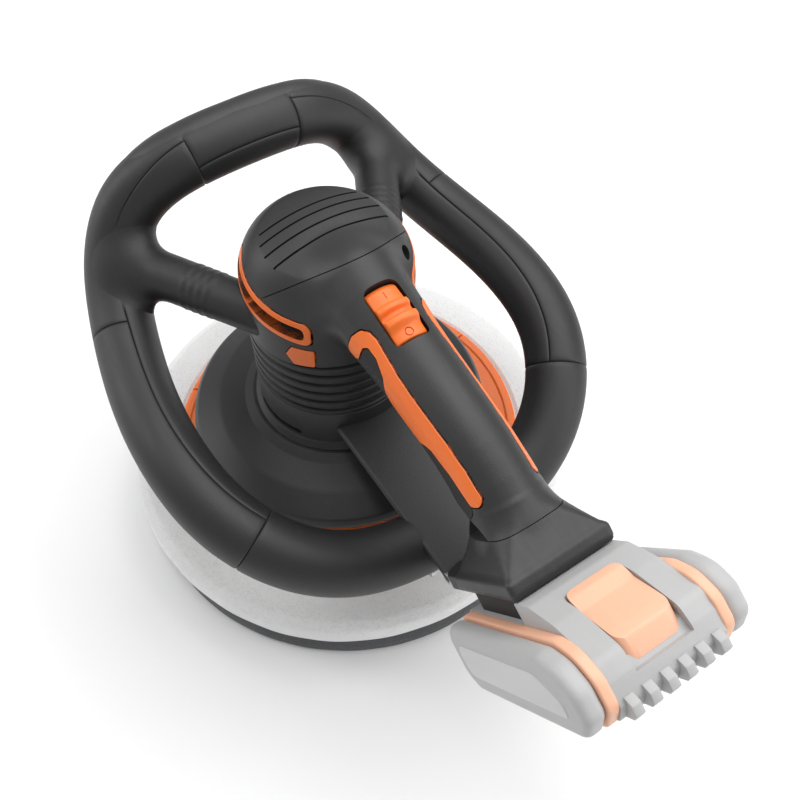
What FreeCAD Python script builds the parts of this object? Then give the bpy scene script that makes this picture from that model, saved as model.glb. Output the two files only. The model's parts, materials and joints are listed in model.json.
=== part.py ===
import FreeCAD, Part
import math
import os
import Sketcher

from FreeCAD import Placement, Rotation, Vector

# Cordless orbital polisher with a loop handle, a rear handle and a slide-on battery.
# Millimetres. Z is the motor's axis and points up, X points to the battery, and
# the origin is on the motor's axis, on the surface that the pad's face rests on.

DIMENSIONS = {
    # polishing pad
    "face_radius": 123.2,
    "face_height": 12.5,
    "pad_radius": 127,
    "pad_foot_radius": 120.5,
    "pad_height": 41,
    "plate_radius": 100.5,
    "plate_thickness": 3,
    "hub_radius": 24,
    "hub_top": 63,
    "orbit": 4,
    # drive
    "pin_radius": 6,
    "bearing_radius": 14,
    "bearing_width": 8,
    "shaft_radius": 4,
    "running_gap": 0.05,
    "can_radius": 27,
    "can_bottom": 113,
    "can_height": 60,
    "weight_radius": 38,
    "weight_height": 12,
    "fan_radius": 31,
    # tower
    "wall": 2.6,
    "cover_radius": 81.6,
    "cover_edge": 76.7,
    "collar_bottom": 91,
    "collar_radius": 41.6,
    "neck_bottom": 120,
    "neck_top": 163,
    "neck_radius": 43,
    "groove_pitch": 7,
    "groove_width": 2.6,
    "tower_radius": 41.5,
    "dome_start": 183,
    "dome_round": 30,
    # loop handle
    "tube_radius": 15.7,
    "core_radius": 12.2,
    # rear handle
    "grip_radius": 17,
    "grip_wall": 2.8,
    "arm_half_width": 22,
    "arm_top": 110,
    "arm_bottom": 95.5,
    "arm_root": 80,
    "switch_width": 7.6,
    # battery dock
    "dock_length": 51,
    "dock_half_width": 22,
    "dock_depth": 9,
    "key_half_width": 13,
    "key_depth": 16,
    # battery
    "pack_front": 65,
    "pack_rear": 44,
    "pack_half_width": 38,
    "pack_bottom": 41.6,
    "pack_split": 24,
    "pack_deck": 9.4,
    "cell_radius": 9,
    "cell_length": 65,
    "cell_pitch": 18.9,
    "cell_depth": 31.1,
    "button_half_width": 12.5,
}

DOCK_ANGLE = 58                      # slope of the battery's slide, in degrees
DOCK_ORIGIN = Vector(179, 0, 175)    # top rear edge of the battery dock
DOCK = Placement(DOCK_ORIGIN, Rotation(Vector(0, 1, 0), -DOCK_ANGLE))

doc = FreeCAD.newDocument("polisher")
sheet = doc.addObject("Spreadsheet::Sheet", "Dims")
sub_parts = []


class Size:
    """A length with its value and the sheet formula that gives it."""

    def __init__(self, value, formula):
        self.value = float(value)
        self.formula = formula

    def __add__(self, other):
        other = as_size(other)
        return Size(self.value + other.value, f"({self.formula} + {other.formula})")

    def __sub__(self, other):
        other = as_size(other)
        return Size(self.value - other.value, f"({self.formula} - {other.formula})")

    def __mul__(self, factor):
        return Size(self.value * factor, f"({self.formula} * {factor})")

    def __neg__(self):
        return Size(-self.value, f"(0 - {self.formula})")

    def __rsub__(self, other):
        return as_size(other) - self

    __radd__ = __add__
    __rmul__ = __mul__


def as_size(length):
    return length if isinstance(length, Size) else Size(length, f"{float(length):.4f}")


class Dimensions:
    """The sheet's cells, read as attributes."""

    def __getattr__(self, name):
        return Size(DIMENSIONS[name], f"Dims.{name}")


dim = Dimensions()


def fill_sheet():
    for row, (name, value) in enumerate(DIMENSIONS.items(), start=1):
        sheet.set(f"A{row}", name)
        sheet.set(f"B{row}", str(value))
        sheet.setAlias(f"B{row}", name)
    doc.recompute()


# ---------------------------------------------------------------- helpers

def bind(thing, name, length):
    """Set a property, through the sheet when it depends on it."""
    length = as_size(length)
    if "Dims." in length.formula:
        thing.setExpression(name, length.formula)
        return
    if name.startswith("Placement.Base."):
        base = thing.Placement.Base
        setattr(base, name[-1], length.value)
        thing.Placement.Base = base
        return
    setattr(thing, name, length.value)


def put(thing, at):
    for axis, length in zip("xyz", at):
        bind(thing, f"Placement.Base.{axis}", length)
    return thing


def cylinder(radius, height, at=(0, 0, 0), turn=None):
    thing = doc.addObject("Part::Cylinder", "Cylinder")
    bind(thing, "Radius", radius)
    bind(thing, "Height", height)
    if turn:
        thing.Placement.Rotation = turn
    return put(thing, at)


def cone(low_radius, high_radius, height, at=(0, 0, 0)):
    thing = doc.addObject("Part::Cone", "Cone")
    bind(thing, "Radius1", low_radius)
    bind(thing, "Radius2", high_radius)
    bind(thing, "Height", height)
    return put(thing, at)


def box(low, high, turn=None):
    """A box from its lowest to its highest corner."""
    thing = doc.addObject("Part::Box", "Box")
    for name, start, end in zip(("Length", "Width", "Height"), low, high):
        bind(thing, name, as_size(end) - start)
    if turn:
        thing.Placement.Rotation = turn
    return put(thing, low)


def cut(base, *tools):
    thing = doc.addObject("Part::Cut", "Cut")
    thing.Base = base
    thing.Tool = tools[0] if len(tools) == 1 else fuse(*tools)
    return thing


def fuse(*shapes):
    thing = doc.addObject("Part::MultiFuse", "Fuse")
    thing.Shapes = list(shapes)
    return thing


def common(*shapes):
    thing = doc.addObject("Part::MultiCommon", "Common")
    thing.Shapes = list(shapes)
    return thing


def group(*shapes):
    """Separate solids that share one node."""
    thing = doc.addObject("Part::Compound", "Group")
    thing.Links = list(shapes)
    return thing


def solid(shape):
    """A document object around a shape made with Part's own functions."""
    thing = doc.addObject("Part::Feature", "Solid")
    thing.Shape = shape
    return thing


def origin_plane(body, role):
    return next(item for item in body.Origin.OriginFeatures if item.Role == role)


def pin_vertex(sketch, index, across, up):
    """Hold the start of one line at two distances from the sketch's origin."""
    for kind, length, axis in (("DistanceX", across, -2), ("DistanceY", up, -1)):
        length = as_size(length)
        if abs(length.value) < 1e-9:
            sketch.addConstraint(Sketcher.Constraint("PointOnObject", index, 1, axis))
            continue
        row = sketch.addConstraint(Sketcher.Constraint(kind, -1, 1, index, 1, length.value))
        if "Dims." in length.formula:
            sketch.setExpression(f"Constraints[{row}]", length.formula)


def outline_sketch(body, points, role):
    """A closed outline of straight lines on one of the body's own planes."""
    sketch = body.newObject("Sketcher::SketchObject", "Outline")
    sketch.AttachmentSupport = [(origin_plane(body, role), "")]
    sketch.MapMode = "FlatFace"
    corners = [Vector(as_size(across).value, as_size(up).value, 0) for across, up in points]
    count = len(corners)
    for index in range(count):
        sketch.addGeometry(Part.LineSegment(corners[index], corners[(index + 1) % count]), False)
    for index in range(count):
        sketch.addConstraint(Sketcher.Constraint("Coincident", index, 2, (index + 1) % count, 1))
    for index, (across, up) in enumerate(points):
        pin_vertex(sketch, index, across, up)
    return sketch


def turned(points):
    """A body of revolution about Z, from an outline of (radius, height) points."""
    body = doc.addObject("PartDesign::Body", "Body")
    sketch = outline_sketch(body, points, "XZ_Plane")
    doc.recompute()
    turn = body.newObject("PartDesign::Revolution", "Revolution")
    turn.Profile = sketch
    turn.ReferenceAxis = (sketch, ["V_Axis"])
    turn.Angle = 360
    body.Tip = turn
    return body


def slab(points, half_width):
    """A body with a side outline of (x, z) points, as wide on both sides of XZ."""
    body = doc.addObject("PartDesign::Body", "Body")
    sketch = outline_sketch(body, points, "XZ_Plane")
    doc.recompute()
    pad = body.newObject("PartDesign::Pad", "Pad")
    pad.Profile = sketch
    pad.SideType = "Symmetric"
    bind(pad, "Length", as_size(half_width) * 2)
    body.Tip = pad
    return body


def ring(outer, inner, height, at=(0, 0, 0)):
    return cut(cylinder(outer, height, at), cylinder(inner, height, at))


def keep(thing, label, placement=None):
    """Make the object a sub-part that is written under this name."""
    if placement is not None:
        thing.Placement = placement
    thing.Label = label
    sub_parts.append(thing)
    return thing


def rounded_corners(points, closed=False):
    """Start, middle and end of the tangent arc at each corner of a route."""
    count = len(points)
    corners = {}
    for index in range(count) if closed else range(1, count - 1):
        here = points[index]
        back = points[index - 1] - here
        ahead = points[(index + 1) % count] - here
        reach = 0.45 * min(back.Length, ahead.Length)
        start = here + back.normalize() * reach
        end = here + ahead.normalize() * reach
        half_turn = (math.pi - (start - here).getAngle(end - here)) / 2
        radius = reach / math.tan(half_turn)
        middle_way = ((start + end) * 0.5 - here).normalize()
        middle = here + middle_way * (radius / math.cos(half_turn) - radius)
        corners[index] = (start, middle, end)
    return corners


def joined(first, corners, last):
    """A wire from one point to another through a list of corner arcs."""
    edges = []
    for start, middle, end in corners:
        edges.append(Part.LineSegment(first, start).toShape())
        edges.append(Part.Arc(start, middle, end).toShape())
        first = end
    edges.append(Part.LineSegment(first, last).toShape())
    return Part.Wire(edges)


def arc_path(points):
    """Straight runs joined by tangent arcs, from the first point to the last."""
    return joined(points[0], list(rounded_corners(points).values()), points[-1])


def tube(path, radius):
    """A round bar along a path."""
    first = path.Edges[0]
    start = first.valueAt(first.FirstParameter)
    way = first.tangentAt(first.FirstParameter)
    circle = Part.Wire(Part.makeCircle(radius, start, way))
    return path.makePipeShell([circle], True, False)


def mirror(thing):
    """The same piece on the other side of the XZ plane."""
    twin = doc.addObject("Part::Mirroring", "Mirror")
    twin.Source = thing
    twin.Normal = Vector(0, 1, 0)
    return twin


def keep_sides(thing, name):
    """Keep a right-hand piece and its left-hand twin as two sub-parts."""
    keep(thing, f"{name}_right")
    keep(mirror(thing), f"{name}_left")


def keep_both(thing, label):
    """Keep a piece and its twin on the other side as one sub-part of two solids."""
    keep(group(thing, mirror(thing)), label)


# ---------------------------------------------------------------- polishing pad

def pad_face():
    thing = cone(dim.face_radius, dim.pad_foot_radius, dim.face_height, (0, dim.orbit, 0))
    keep(thing, "pad_face")


def foam_pad():
    recess = dim.pad_height - 9
    points = [
        (0, dim.face_height), (dim.pad_foot_radius, dim.face_height),
        (dim.pad_radius - 2, dim.face_height + 10), (dim.pad_radius, dim.face_height + 18),
        (dim.pad_radius, dim.pad_height - 7), (dim.pad_radius - 3, dim.pad_height - 2.5),
        (dim.pad_radius - 9, dim.pad_height), (17, dim.pad_height), (17, recess), (0, recess),
    ]
    body = turned(points)
    body.Label = "foam_pad"
    sub_parts.append(put(body, (0, dim.orbit, 0)))


def backing_plate():
    """The plate with its raised hub, stiffening ribs and bearing seat."""
    top = dim.pad_height + dim.plate_thickness
    points = [
        (dim.pin_radius + 3.5, dim.pad_height), (dim.plate_radius, dim.pad_height),
        (dim.plate_radius, top), (dim.hub_radius + 8, top + 1.5), (dim.hub_radius, top + 5),
        (dim.hub_radius, dim.hub_top), (dim.bearing_radius, dim.hub_top),
        (dim.bearing_radius, top), (dim.pin_radius + 3.5, top),
    ]
    plate = turned(points)
    rib_end = 70
    ribs = []
    for index in range(12):
        rib = box((dim.hub_radius - 1, -1.5, dim.pad_height + 1), (rib_end, 1.5, top + 5))
        turner = doc.addObject("Part::Compound", "Rib")
        turner.Links = [rib]
        turner.Placement.Rotation = Rotation(Vector(0, 0, 1), index * 30 + 15)
        ribs.append(turner)
    keep(put(fuse(plate, *ribs), (0, dim.orbit, 0)), "backing_plate")


def pad_bearings():
    bearings = []
    for low in (dim.hub_top - 18, dim.hub_top - 9):
        race = ring(dim.bearing_radius, dim.pin_radius + dim.running_gap, dim.bearing_width, (0, dim.orbit, low))
        bearings.append(race)
    keep(group(*bearings), "pad_bearings")


def bearing_circlip():
    thing = ring(dim.bearing_radius, dim.bearing_radius - 2.5, 1, (0, dim.orbit, dim.hub_top - 1))
    keep(thing, "bearing_circlip")


# ---------------------------------------------------------------- rotor

def motor_shaft():
    keep(cylinder(dim.shaft_radius, 115, (0, 0, 67)), "motor_shaft")


def armature():
    """The laminated core, with slots for the windings."""
    core = ring(17, dim.shaft_radius, 34, (0, 0, 124))
    slots = []
    for index in range(10):
        angle = math.radians(36 * index)
        slots.append(cylinder(2.4, 34, (14 * math.cos(angle), 14 * math.sin(angle), 124)))
    keep(cut(core, *slots), "armature_core")
    coils = []
    for index in range(10):
        angle = math.radians(36 * index)
        coils.append(cylinder(2.2, 42, (13.9 * math.cos(angle), 13.9 * math.sin(angle), 120)))
    keep(group(*coils), "armature_coils")
    keep(ring(9, dim.shaft_radius, 8, (0, 0, 163)), "commutator")


def cooling_fan():
    """A hub and a back disc with curved blades under it."""
    hub = ring(9, dim.shaft_radius, 11, (0, 0, 97))
    disc = ring(dim.fan_radius, 8, 1.5, (0, 0, 106.5))
    blades = []
    for index in range(9):
        blade = box((8, -0.8, 97), (dim.fan_radius, 0.8, 107))
        turner = doc.addObject("Part::Compound", "Blade")
        turner.Links = [blade]
        turner.Placement.Rotation = Rotation(Vector(0, 0, 1), index * 40)
        blades.append(turner)
    keep(fuse(hub, disc, *blades), "cooling_fan")


def counterweight():
    """Half a disc that balances the pad, opposite to the crank pin."""
    half = common(
        cylinder(dim.weight_radius, dim.weight_height, (0, 0, 69)),
        box((-dim.weight_radius, -dim.weight_radius, 69), (dim.weight_radius, -3, dim.weight_height + 69)),
    )
    keep(cut(half, cylinder(13, dim.weight_height, (0, 0, 69))), "counterweight")


def crank_hub():
    """The hub on the shaft, with the crank pin beside its axis."""
    hub = cut(cylinder(13, 17, (0, 0, 65)), cylinder(dim.shaft_radius, 20, (0, 0, 67)))
    pin = cylinder(dim.pin_radius, 22, (0, dim.orbit, 44))
    thread = cylinder(3, 12, (0, dim.orbit, 44))
    keep(cut(fuse(hub, pin), thread), "crank_hub")


def pad_fasteners():
    washer = ring(9.2, 3.1, 1.6, (0, dim.orbit, 42.3))
    keep(washer, "pad_washer")
    screw = fuse(
        cylinder(5, 4, (0, dim.orbit, 38.2)),
        cylinder(3, 13, (0, dim.orbit, 42.2)),
    )
    socket = cylinder(2.2, 3, (0, dim.orbit, 38.2))
    keep(cut(screw, socket), "pad_screw")


# ---------------------------------------------------------------- motor and tower

def motor():
    can_top = dim.can_bottom + dim.can_height
    shell = cut(
        cylinder(dim.can_radius, dim.can_height, (0, 0, dim.can_bottom)),
        cylinder(dim.can_radius - 1.6, dim.can_height, (0, 0, dim.can_bottom + 1.6)),
        cylinder(6.2, 4, (0, 0, dim.can_bottom - 1)),
    )
    keep(shell, "motor_can")
    magnets = []
    for side in (1, -1):
        arc = ring(dim.can_radius - 1.7, 18.2, 36, (0, 0, 123))
        gap = box((-30, -6, 122), (30, 6, 160))
        half = box((-30, 0 if side > 0 else -30, 122), (30, 30 if side > 0 else 0, 160))
        magnets.append(common(cut(arc, gap), half))
    keep(group(*magnets), "motor_magnets")
    cap = ring(dim.can_radius, 9.6, 4, (0, 0, can_top))
    keep(cap, "brush_plate")
    brushes = []
    for side in (1, -1):
        low = min(side * 9.4, side * 21)
        brushes.append(box((low, -2.5, 164), (low + 11.6, 2.5, 171)))
    keep(group(*brushes), "carbon_brushes")


def motor_mounts():
    """Two spiders that hold the can inside the tower."""
    spiders = []
    for low in (122, 166):
        inner = ring(30, dim.can_radius, 5, (0, 0, low))
        outer = ring(38.8, 36, 5, (0, 0, low))
        arms = [box((-37, -2.5, low), (37, 2.5, low + 5)), box((-2.5, -37, low), (2.5, 37, low + 5))]
        spiders.append(cut(fuse(inner, outer, *arms), cylinder(dim.can_radius, 5, (0, 0, low))))
    keep(group(*spiders), "motor_mounts")


def bearing_carrier():
    """The plate over the counterweight that holds the lower bearing."""
    low = 84.5
    disc = cut(
        cylinder(39, 3, (0, 0, low)),
        *[cylinder(6, 3, (26 * math.cos(a * math.pi / 3), 26 * math.sin(a * math.pi / 3), low)) for a in range(6)],
    )
    boss = cylinder(14, 9, (0, 0, low))
    seat = cylinder(11, 8, (0, 0, low + 1.5))
    keep(cut(fuse(disc, boss), seat, cylinder(7, 20, (0, 0, low - 2))), "bearing_carrier")
    bore = dim.shaft_radius + dim.running_gap
    lower = ring(11, bore, 7, (0, 0, low + 1.5))
    upper = ring(9.5, bore, 6, (0, 0, dim.can_bottom + dim.can_height - 0.5))
    keep(group(lower, upper), "shaft_bearings")


def lower_collar():
    """The bottom of the tower, with its outlet slots for cooling air."""
    inner = dim.collar_radius - dim.wall
    shell = turned([
        (inner, dim.collar_bottom), (dim.collar_radius + 4, dim.collar_bottom),
        (dim.collar_radius + 4, dim.collar_bottom + 2), (dim.collar_radius, dim.collar_bottom + 3.5),
        (dim.collar_radius, dim.neck_bottom), (inner, dim.neck_bottom),
    ])
    slots = []
    for angle in (-110, -90, -70, 70, 90, 110):
        turner = doc.addObject("Part::Compound", "Slot")
        turner.Links = [box((34, -6, 101), (48, 6, 104.5))]
        turner.Placement.Rotation = Rotation(Vector(0, 0, 1), angle)
        slots.append(turner)
    keep(cut(shell, *slots), "lower_collar")


def base_cover():
    """The wide skirt over the counterweight."""
    top = dim.collar_bottom
    edge = dim.cover_edge
    keep(turned([
        (dim.cover_radius, edge), (64, edge + 9), (dim.collar_radius + 5, top - 0.1),
        (dim.collar_radius - 2.5, top - 0.1), (dim.collar_radius - 2.5, top - 3),
        (62, edge + 6), (dim.cover_radius - 3, edge - 2.5), (dim.cover_radius - 3, edge - 7),
        (dim.cover_radius - 1, edge - 7),
    ]), "base_cover")


def neck_sleeve():
    """The ribbed soft sleeve between the collar and the upper housing."""
    points = [(39, dim.neck_top), (39, dim.neck_bottom), (dim.neck_radius - 1, dim.neck_bottom)]
    for index in range(6):
        low = dim.neck_bottom + 2.5 + dim.groove_pitch * index
        high = low + dim.groove_width
        points += [
            (dim.neck_radius, low - 1.2), (dim.neck_radius, low), (dim.neck_radius - 1.6, low + 0.3),
            (dim.neck_radius - 1.6, high - 0.3), (dim.neck_radius, high),
        ]
    points.append((dim.neck_radius, dim.neck_top))
    keep(turned(points), "neck_sleeve")


def dome_outline(radius, shoulder, rounding, bottom):
    """The dome's half profile, its shoulder drawn as short chords of its arc."""
    points = [(0, bottom), (radius, bottom), (radius, shoulder)]
    for step in range(1, 7):
        angle = math.radians(15 * step)
        across = radius - rounding * (1 - math.cos(angle))
        points.append((across, shoulder + rounding * math.sin(angle)))
    points.append((0, shoulder + rounding))
    return points


def dome_shell():
    """The whole upper shell of the tower, before it is parted."""
    outer = turned(dome_outline(dim.tower_radius, dim.dome_start, dim.dome_round, dim.neck_top + 0.2))
    inner = turned(dome_outline(
        dim.tower_radius - dim.wall, dim.dome_start, dim.dome_round - dim.wall, dim.neck_top - 1))
    openings = []
    for side in (1, -1):
        for angle in (50, 68, 86):
            turner = doc.addObject("Part::Compound", "Vent")
            turner.Links = [box((32, -5, 182), (48, 5, 188))]
            turner.Placement.Rotation = Rotation(Vector(0, 0, 1), side * angle)
            openings.append(turner)
    return cut(outer, inner, *openings)


def parting_wedge():
    """Everything in front of the sloping seam across the dome."""
    return slab([(-60, 140), (-47, 140), (26, 211), (30, 217), (30, 240), (-60, 240)], 60)


GRIP_ROUTE = [
    Vector(28, 0, 197), Vector(60, 0, 191.5), Vector(100, 0, 185.5),
    Vector(128, 0, 178.5), Vector(147, 0, 166.7),
]


def grip_level(x):
    """Height of the rear handle's middle line at a distance from the motor's axis."""
    for start, end in zip(GRIP_ROUTE, GRIP_ROUTE[1:]):
        if x <= end.x or end is GRIP_ROUTE[-1]:
            return start.z + (x - start.x) * (end.z - start.z) / (end.x - start.x)


def band(first, last, low, high, half_width):
    """A strip that follows the handle's middle line, between two heights from it."""
    stations = [first] + [point.x for point in GRIP_ROUTE if first < point.x < last] + [last]
    upper = [(x, grip_level(x) + high) for x in stations]
    lower = [(x, grip_level(x) + low) for x in reversed(stations)]
    return slab(upper + lower, half_width)


def housing_screw_holes():
    holes = []
    for x in (66, 92, 118):
        holes.append(cylinder(1.8, 12, (x, 0, grip_level(x) - 18)))
        holes.append(cylinder(3.3, 4.2, (x, 0, grip_level(x) - 18.2)))
    return holes


def rear_handle():
    """The rear of the dome and the handle's top in one piece, and the handle's underside."""
    path = arc_path(GRIP_ROUTE)
    bore = DIMENSIONS["grip_radius"] - DIMENSIONS["grip_wall"]
    sheath = cut(solid(tube(path, DIMENSIONS["grip_radius"])), solid(tube(path, bore)))
    core = cylinder(dim.tower_radius, 60, (0, 0, 160))
    window = box((44.6, -8, 196), (74.2, 8, 225))
    top_half = cut(common(sheath, band(20, 150, 0, 40, 30)), core, window)
    rear = cut(dome_shell(), parting_wedge(), cylinder(10, 30, (22, 0, 196.5), Rotation(Vector(0, 1, 0), 98)))
    keep(fuse(rear, top_half), "upper_housing")
    under = cut(common(sheath, band(20, 150, -40, -0.05, 30)), core, *housing_screw_holes())
    keep(under, "grip_underside")


def dome_cap():
    """The front of the dome, with four air slots across its top."""
    slots = [box((6 * row - 8, row - 27, 200), (6 * row - 6, 27 - row, 216)) for row in range(4)]
    keep(cut(common(dome_shell(), parting_wedge()), *slots), "dome_cap")


def side_trims():
    keep_both(put(band(52, 138, -3, 3, 0.55), (0, -17.65, 0)), "side_trims")


def sector(radius, low, high, start, end):
    thing = cylinder(radius, as_size(high) - low, (0, 0, low), Rotation(Vector(0, 0, 1), start))
    thing.Angle = end - start
    return thing


def vent_frames_and_badges():
    core = cylinder(dim.tower_radius + 0.05, 60, (0, 0, 150))
    frame = cut(
        sector(dim.tower_radius + 1.2, 176.5, 191.5, -124, -41),
        sector(60, 180.5, 187.5, -120, -45), core,
    )
    keep_both(frame, "vent_frames")
    keep_both(cut(sector(dim.tower_radius + 0.9, 164, 175, -59, -41), core), "badges")


def switch():
    slider = slab([
        (49.8, 205.2), (73.6, 201.3), (73.6, 207.3), (68, 207), (62, 210.7), (50, 211.3),
    ], dim.switch_width)
    base = band(51, 72, 7, 9.6, 9)
    stem = band(53, 70, 9.6, 13, 5)
    keep(fuse(slider, base, stem), "switch_slider")
    keep(band(48, 82, -8, 6, 8.5), "switch_module")


# ---------------------------------------------------------------- lower arm and dock

def lower_arm():
    shell = slab([
        (38, dim.arm_bottom), (84, dim.arm_bottom), (90, dim.arm_root), (112, dim.arm_root),
        (112, dim.arm_top), (38, dim.arm_top),
    ], dim.arm_half_width)
    room = box((52, -18, 97.5), (109, 18, 107.5))
    collar = cylinder(46, 40, (0, 0, 80))
    keep(cut(shell, room, collar), "lower_arm")
    devices = [box((64 + 12 * row, -10, 100.6), (71 + 12 * row, -2, 104)) for row in range(3)]
    devices.append(cylinder(5, 5.5, (98, 9, 100.6)))
    keep(fuse(box((58, -16, 99), (106, 16, 100.6)), *devices), "control_board")


FOOT_SIDE = [
    (178.8, 175), (146.1, 122.4), (139.3, 111.4), (133, 100), (127, 86), (119, 80), (112, 80),
    (112, 110), (125, 110.5), (131, 115), (136, 126), (139, 140), (138.6, 152.4),
    (156.4, 180.6), (165, 175.6), (173, 173.8),
]


def battery_foot():
    """The rear block that joins the handle to the arm and carries the battery dock."""
    block = slab(FOOT_SIDE, dim.dock_half_width)
    flange = dock_box((-76, -24.5, 0), (-1, 24.5, 6))
    room = slab([(160, 166), (146, 142), (150, 139), (166, 163)], 14)
    holes = []
    for x, z in FOOT_SCREWS:
        holes.append(cylinder(1.8, 18, (x, -23, z), Rotation(Vector(1, 0, 0), -90)))
        holes.append(cylinder(3.3, 4, (x, -23, z), Rotation(Vector(1, 0, 0), -90)))
    keep(cut(fuse(block, flange), room, *holes), "battery_foot")


FOOT_SCREWS = [(148.5, 135.5), (134, 108), (120, 90)]


def place_in_dock(thing):
    """Turn a piece drawn in the dock's own frame into its place on the tool."""
    thing.Placement = DOCK.multiply(thing.Placement)
    return thing


def dock_box(low, high):
    """A box in the dock's frame: X along the slide, Z towards the tool."""
    low = [as_size(value).value for value in low]
    high = [as_size(value).value for value in high]
    return place_in_dock(box(low, high))


def dock():
    block = dock_box((-dim.dock_length, -dim.dock_half_width, -dim.dock_depth), (-1, dim.dock_half_width, -0.05))
    neck = dock_box((-49, -9, -13), (-10, 9, -8))
    head = dock_box((-49, -dim.key_half_width, -dim.key_depth), (-10, dim.key_half_width, -13))
    notch = dock_box((-9, -7, -10), (0, 7, -4))
    ways = [dock_box((-52, y - 1.7, -17), (-9, y + 1.7, -9.3)) for y in CONTACT_ROWS]
    keep(cut(fuse(block, neck, head), notch, *ways), "dock_rail")
    blades = [dock_box((-49, y - 0.4, -15.5), (-32, y + 0.4, -9.3)) for y in CONTACT_ROWS]
    keep(group(*blades), "dock_terminals")


CONTACT_ROWS = (-6, 0, 6)


def leads():
    """Insulated leads inside the handle, from the switch to the battery dock."""
    runs = []
    for side in (-1, 1):
        points = [
            Vector(84, side * 6, 182), Vector(98, side * 8, 180), Vector(114, side * 8, 177),
            Vector(130, side * 6, 170), Vector(142, side * 5, 162),
        ]
        runs.append(solid(tube(arc_path(points), 1.2)))
    keep(group(*runs), "power_leads")


# ---------------------------------------------------------------- battery

def pack_shells():
    half = dim.pack_half_width
    deck = slab([
        (-dim.pack_front, -dim.pack_split), (-dim.pack_front, -14), (-61, -dim.pack_deck),
        (30, -dim.pack_deck), (38, -12), (dim.pack_rear, -20), (dim.pack_rear, -dim.pack_split),
    ], half)
    spine = slab([(-0.5, -9.5), (-0.5, -3.2), (14, -3.2), (44, -20), (38, -20), (30, -12)], 25)
    room = box((-62, -35, -25), (41, 35, -18.4))
    slot_neck = box((-66, -9.3, -13.3), (-9, 9.3, -9))
    slot_head = box((-66, -13.3, -16.3), (-9, 13.3, -12.7))
    hook_way = box((-8.8, -6.5, -18.5), (17, 6.5, -9.2))
    button_way = slab([(15, 0), (42.3, 0), (42.3, -26), (15, -26)], dim.button_half_width + 0.3)
    contact_ways = [box((-47, y - 1.8, -18.8), (-35, y + 1.8, -16)) for y in CONTACT_ROWS]
    cover = cut(fuse(deck, spine), room, slot_neck, slot_head, hook_way, button_way, *contact_ways)
    keep(cover, "pack_cover", DOCK)
    tub = slab([
        (-dim.pack_front, -dim.pack_split - 0.05), (-dim.pack_front, -33.6), (-57, -dim.pack_bottom),
        (34, -dim.pack_bottom), (dim.pack_rear, -33.6), (dim.pack_rear, -dim.pack_split - 0.05),
    ], half)
    teeth = [box((43, y - 2.2, -39.6), (48.5, y + 2.2, -32.6)) for y in range(-20, 21, 8)]
    room = slab([(-62.6, -23), (-62.6, -33.1), (-56.5, -40.5), (33, -40.5), (41.6, -33.1), (41.6, -23)], 35.6)
    keep(cut(fuse(tub, *teeth), room), "pack_tub", DOCK)


def pack_trims():
    strip = slab([
        (-60, -8.7), (30.5, -8.7), (38.6, -11.4), (44.8, -19.7), (44.8, -31.6), (44.05, -31.6),
        (44.05, -20), (38, -11.9), (30, -9.35), (-60, -9.35),
    ], 2)
    put(strip, (0, 28.5, 0))
    keep(group(strip, mirror(strip)), "pack_trims", DOCK)


def pack_plates():
    plate = box((-50, 38.05, -35), (26, 38.6, -15))
    keep(group(plate, mirror(plate)), "pack_plates", DOCK)


def release_button():
    """The sloping button with its hook, which reaches up into the dock's notch."""
    top = slab([(16.8, -4.4), (41.6, -18.3), (41.6, -21.3), (16.8, -9.4)], dim.button_half_width)
    bar = box((-6, -5.5, -13.4), (18, 5.5, -10))
    tooth = box((-6, -5.5, -10.5), (-2.6, 5.5, -6.4))
    post = box((16.9, -5.5, -13), (20, 5.5, -7.5))
    keep(fuse(top, bar, tooth, post), "release_button", DOCK)
    spring = ring(3.2, 2.4, 2.8, (8, 0, -19.5))
    keep(spring, "latch_spring", DOCK)


def pack_inside():
    centres = [-52.5 + DIMENSIONS["cell_pitch"] * row for row in range(5)]
    level = -DIMENSIONS["cell_depth"]
    along = Rotation(Vector(1, 0, 0), -90)
    cells = [cylinder(dim.cell_radius, dim.cell_length, (x, -32.5, level), along) for x in centres]
    keep(group(*cells), "battery_cells", DOCK)
    holders = []
    for y in (-26, 23):
        plate = box((-56, y, level - 8.9), (33, y + 3, level + 8.9))
        holes = [cylinder(dim.cell_radius + 0.05, 80, (x, -40, level), along) for x in centres]
        holders.append(cut(plate, *holes))
    keep(group(*holders), "cell_holders", DOCK)
    straps = []
    for side, pairs in ((-1, ((0, 1), (2, 3))), (1, ((1, 2), (3, 4)))):
        for first, last in pairs:
            low = 32.6 if side > 0 else -32.9
            straps.append(box((centres[first] - 4, low, level - 3), (centres[last] + 4, low + 0.3, level + 3)))
    keep(group(*straps), "cell_straps", DOCK)
    keep(dock_box((-50, -20, -21.2), (14, 20, -19.6)), "pack_board")
    leaves = []
    for y in CONTACT_ROWS:
        for side in (-1.4, 0.9):
            leaves.append(box((-46, y + side, -19.5), (-36, y + side + 0.5, -11)))
    keep(group(*leaves), "pack_contacts", DOCK)


# ---------------------------------------------------------------- loop handle

LOOP_HALF = [
    Vector(-86, 18, 208), Vector(-88, 42, 203), Vector(-92, 62, 186), Vector(-83, 77, 163),
    Vector(-66, 86, 149), Vector(-36, 95, 141), Vector(-2, 101, 139), Vector(32, 102, 137),
    Vector(62, 97, 130), Vector(88, 80, 116), Vector(103, 54, 102), Vector(108, 22, 95),
]


def other_side(point):
    return Vector(point.x, -point.y, point.z)


LOOP_ROUTE = LOOP_HALF + [other_side(point) for point in reversed(LOOP_HALF)]
LOOP_CORNERS = rounded_corners(LOOP_ROUTE, closed=True)


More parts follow.
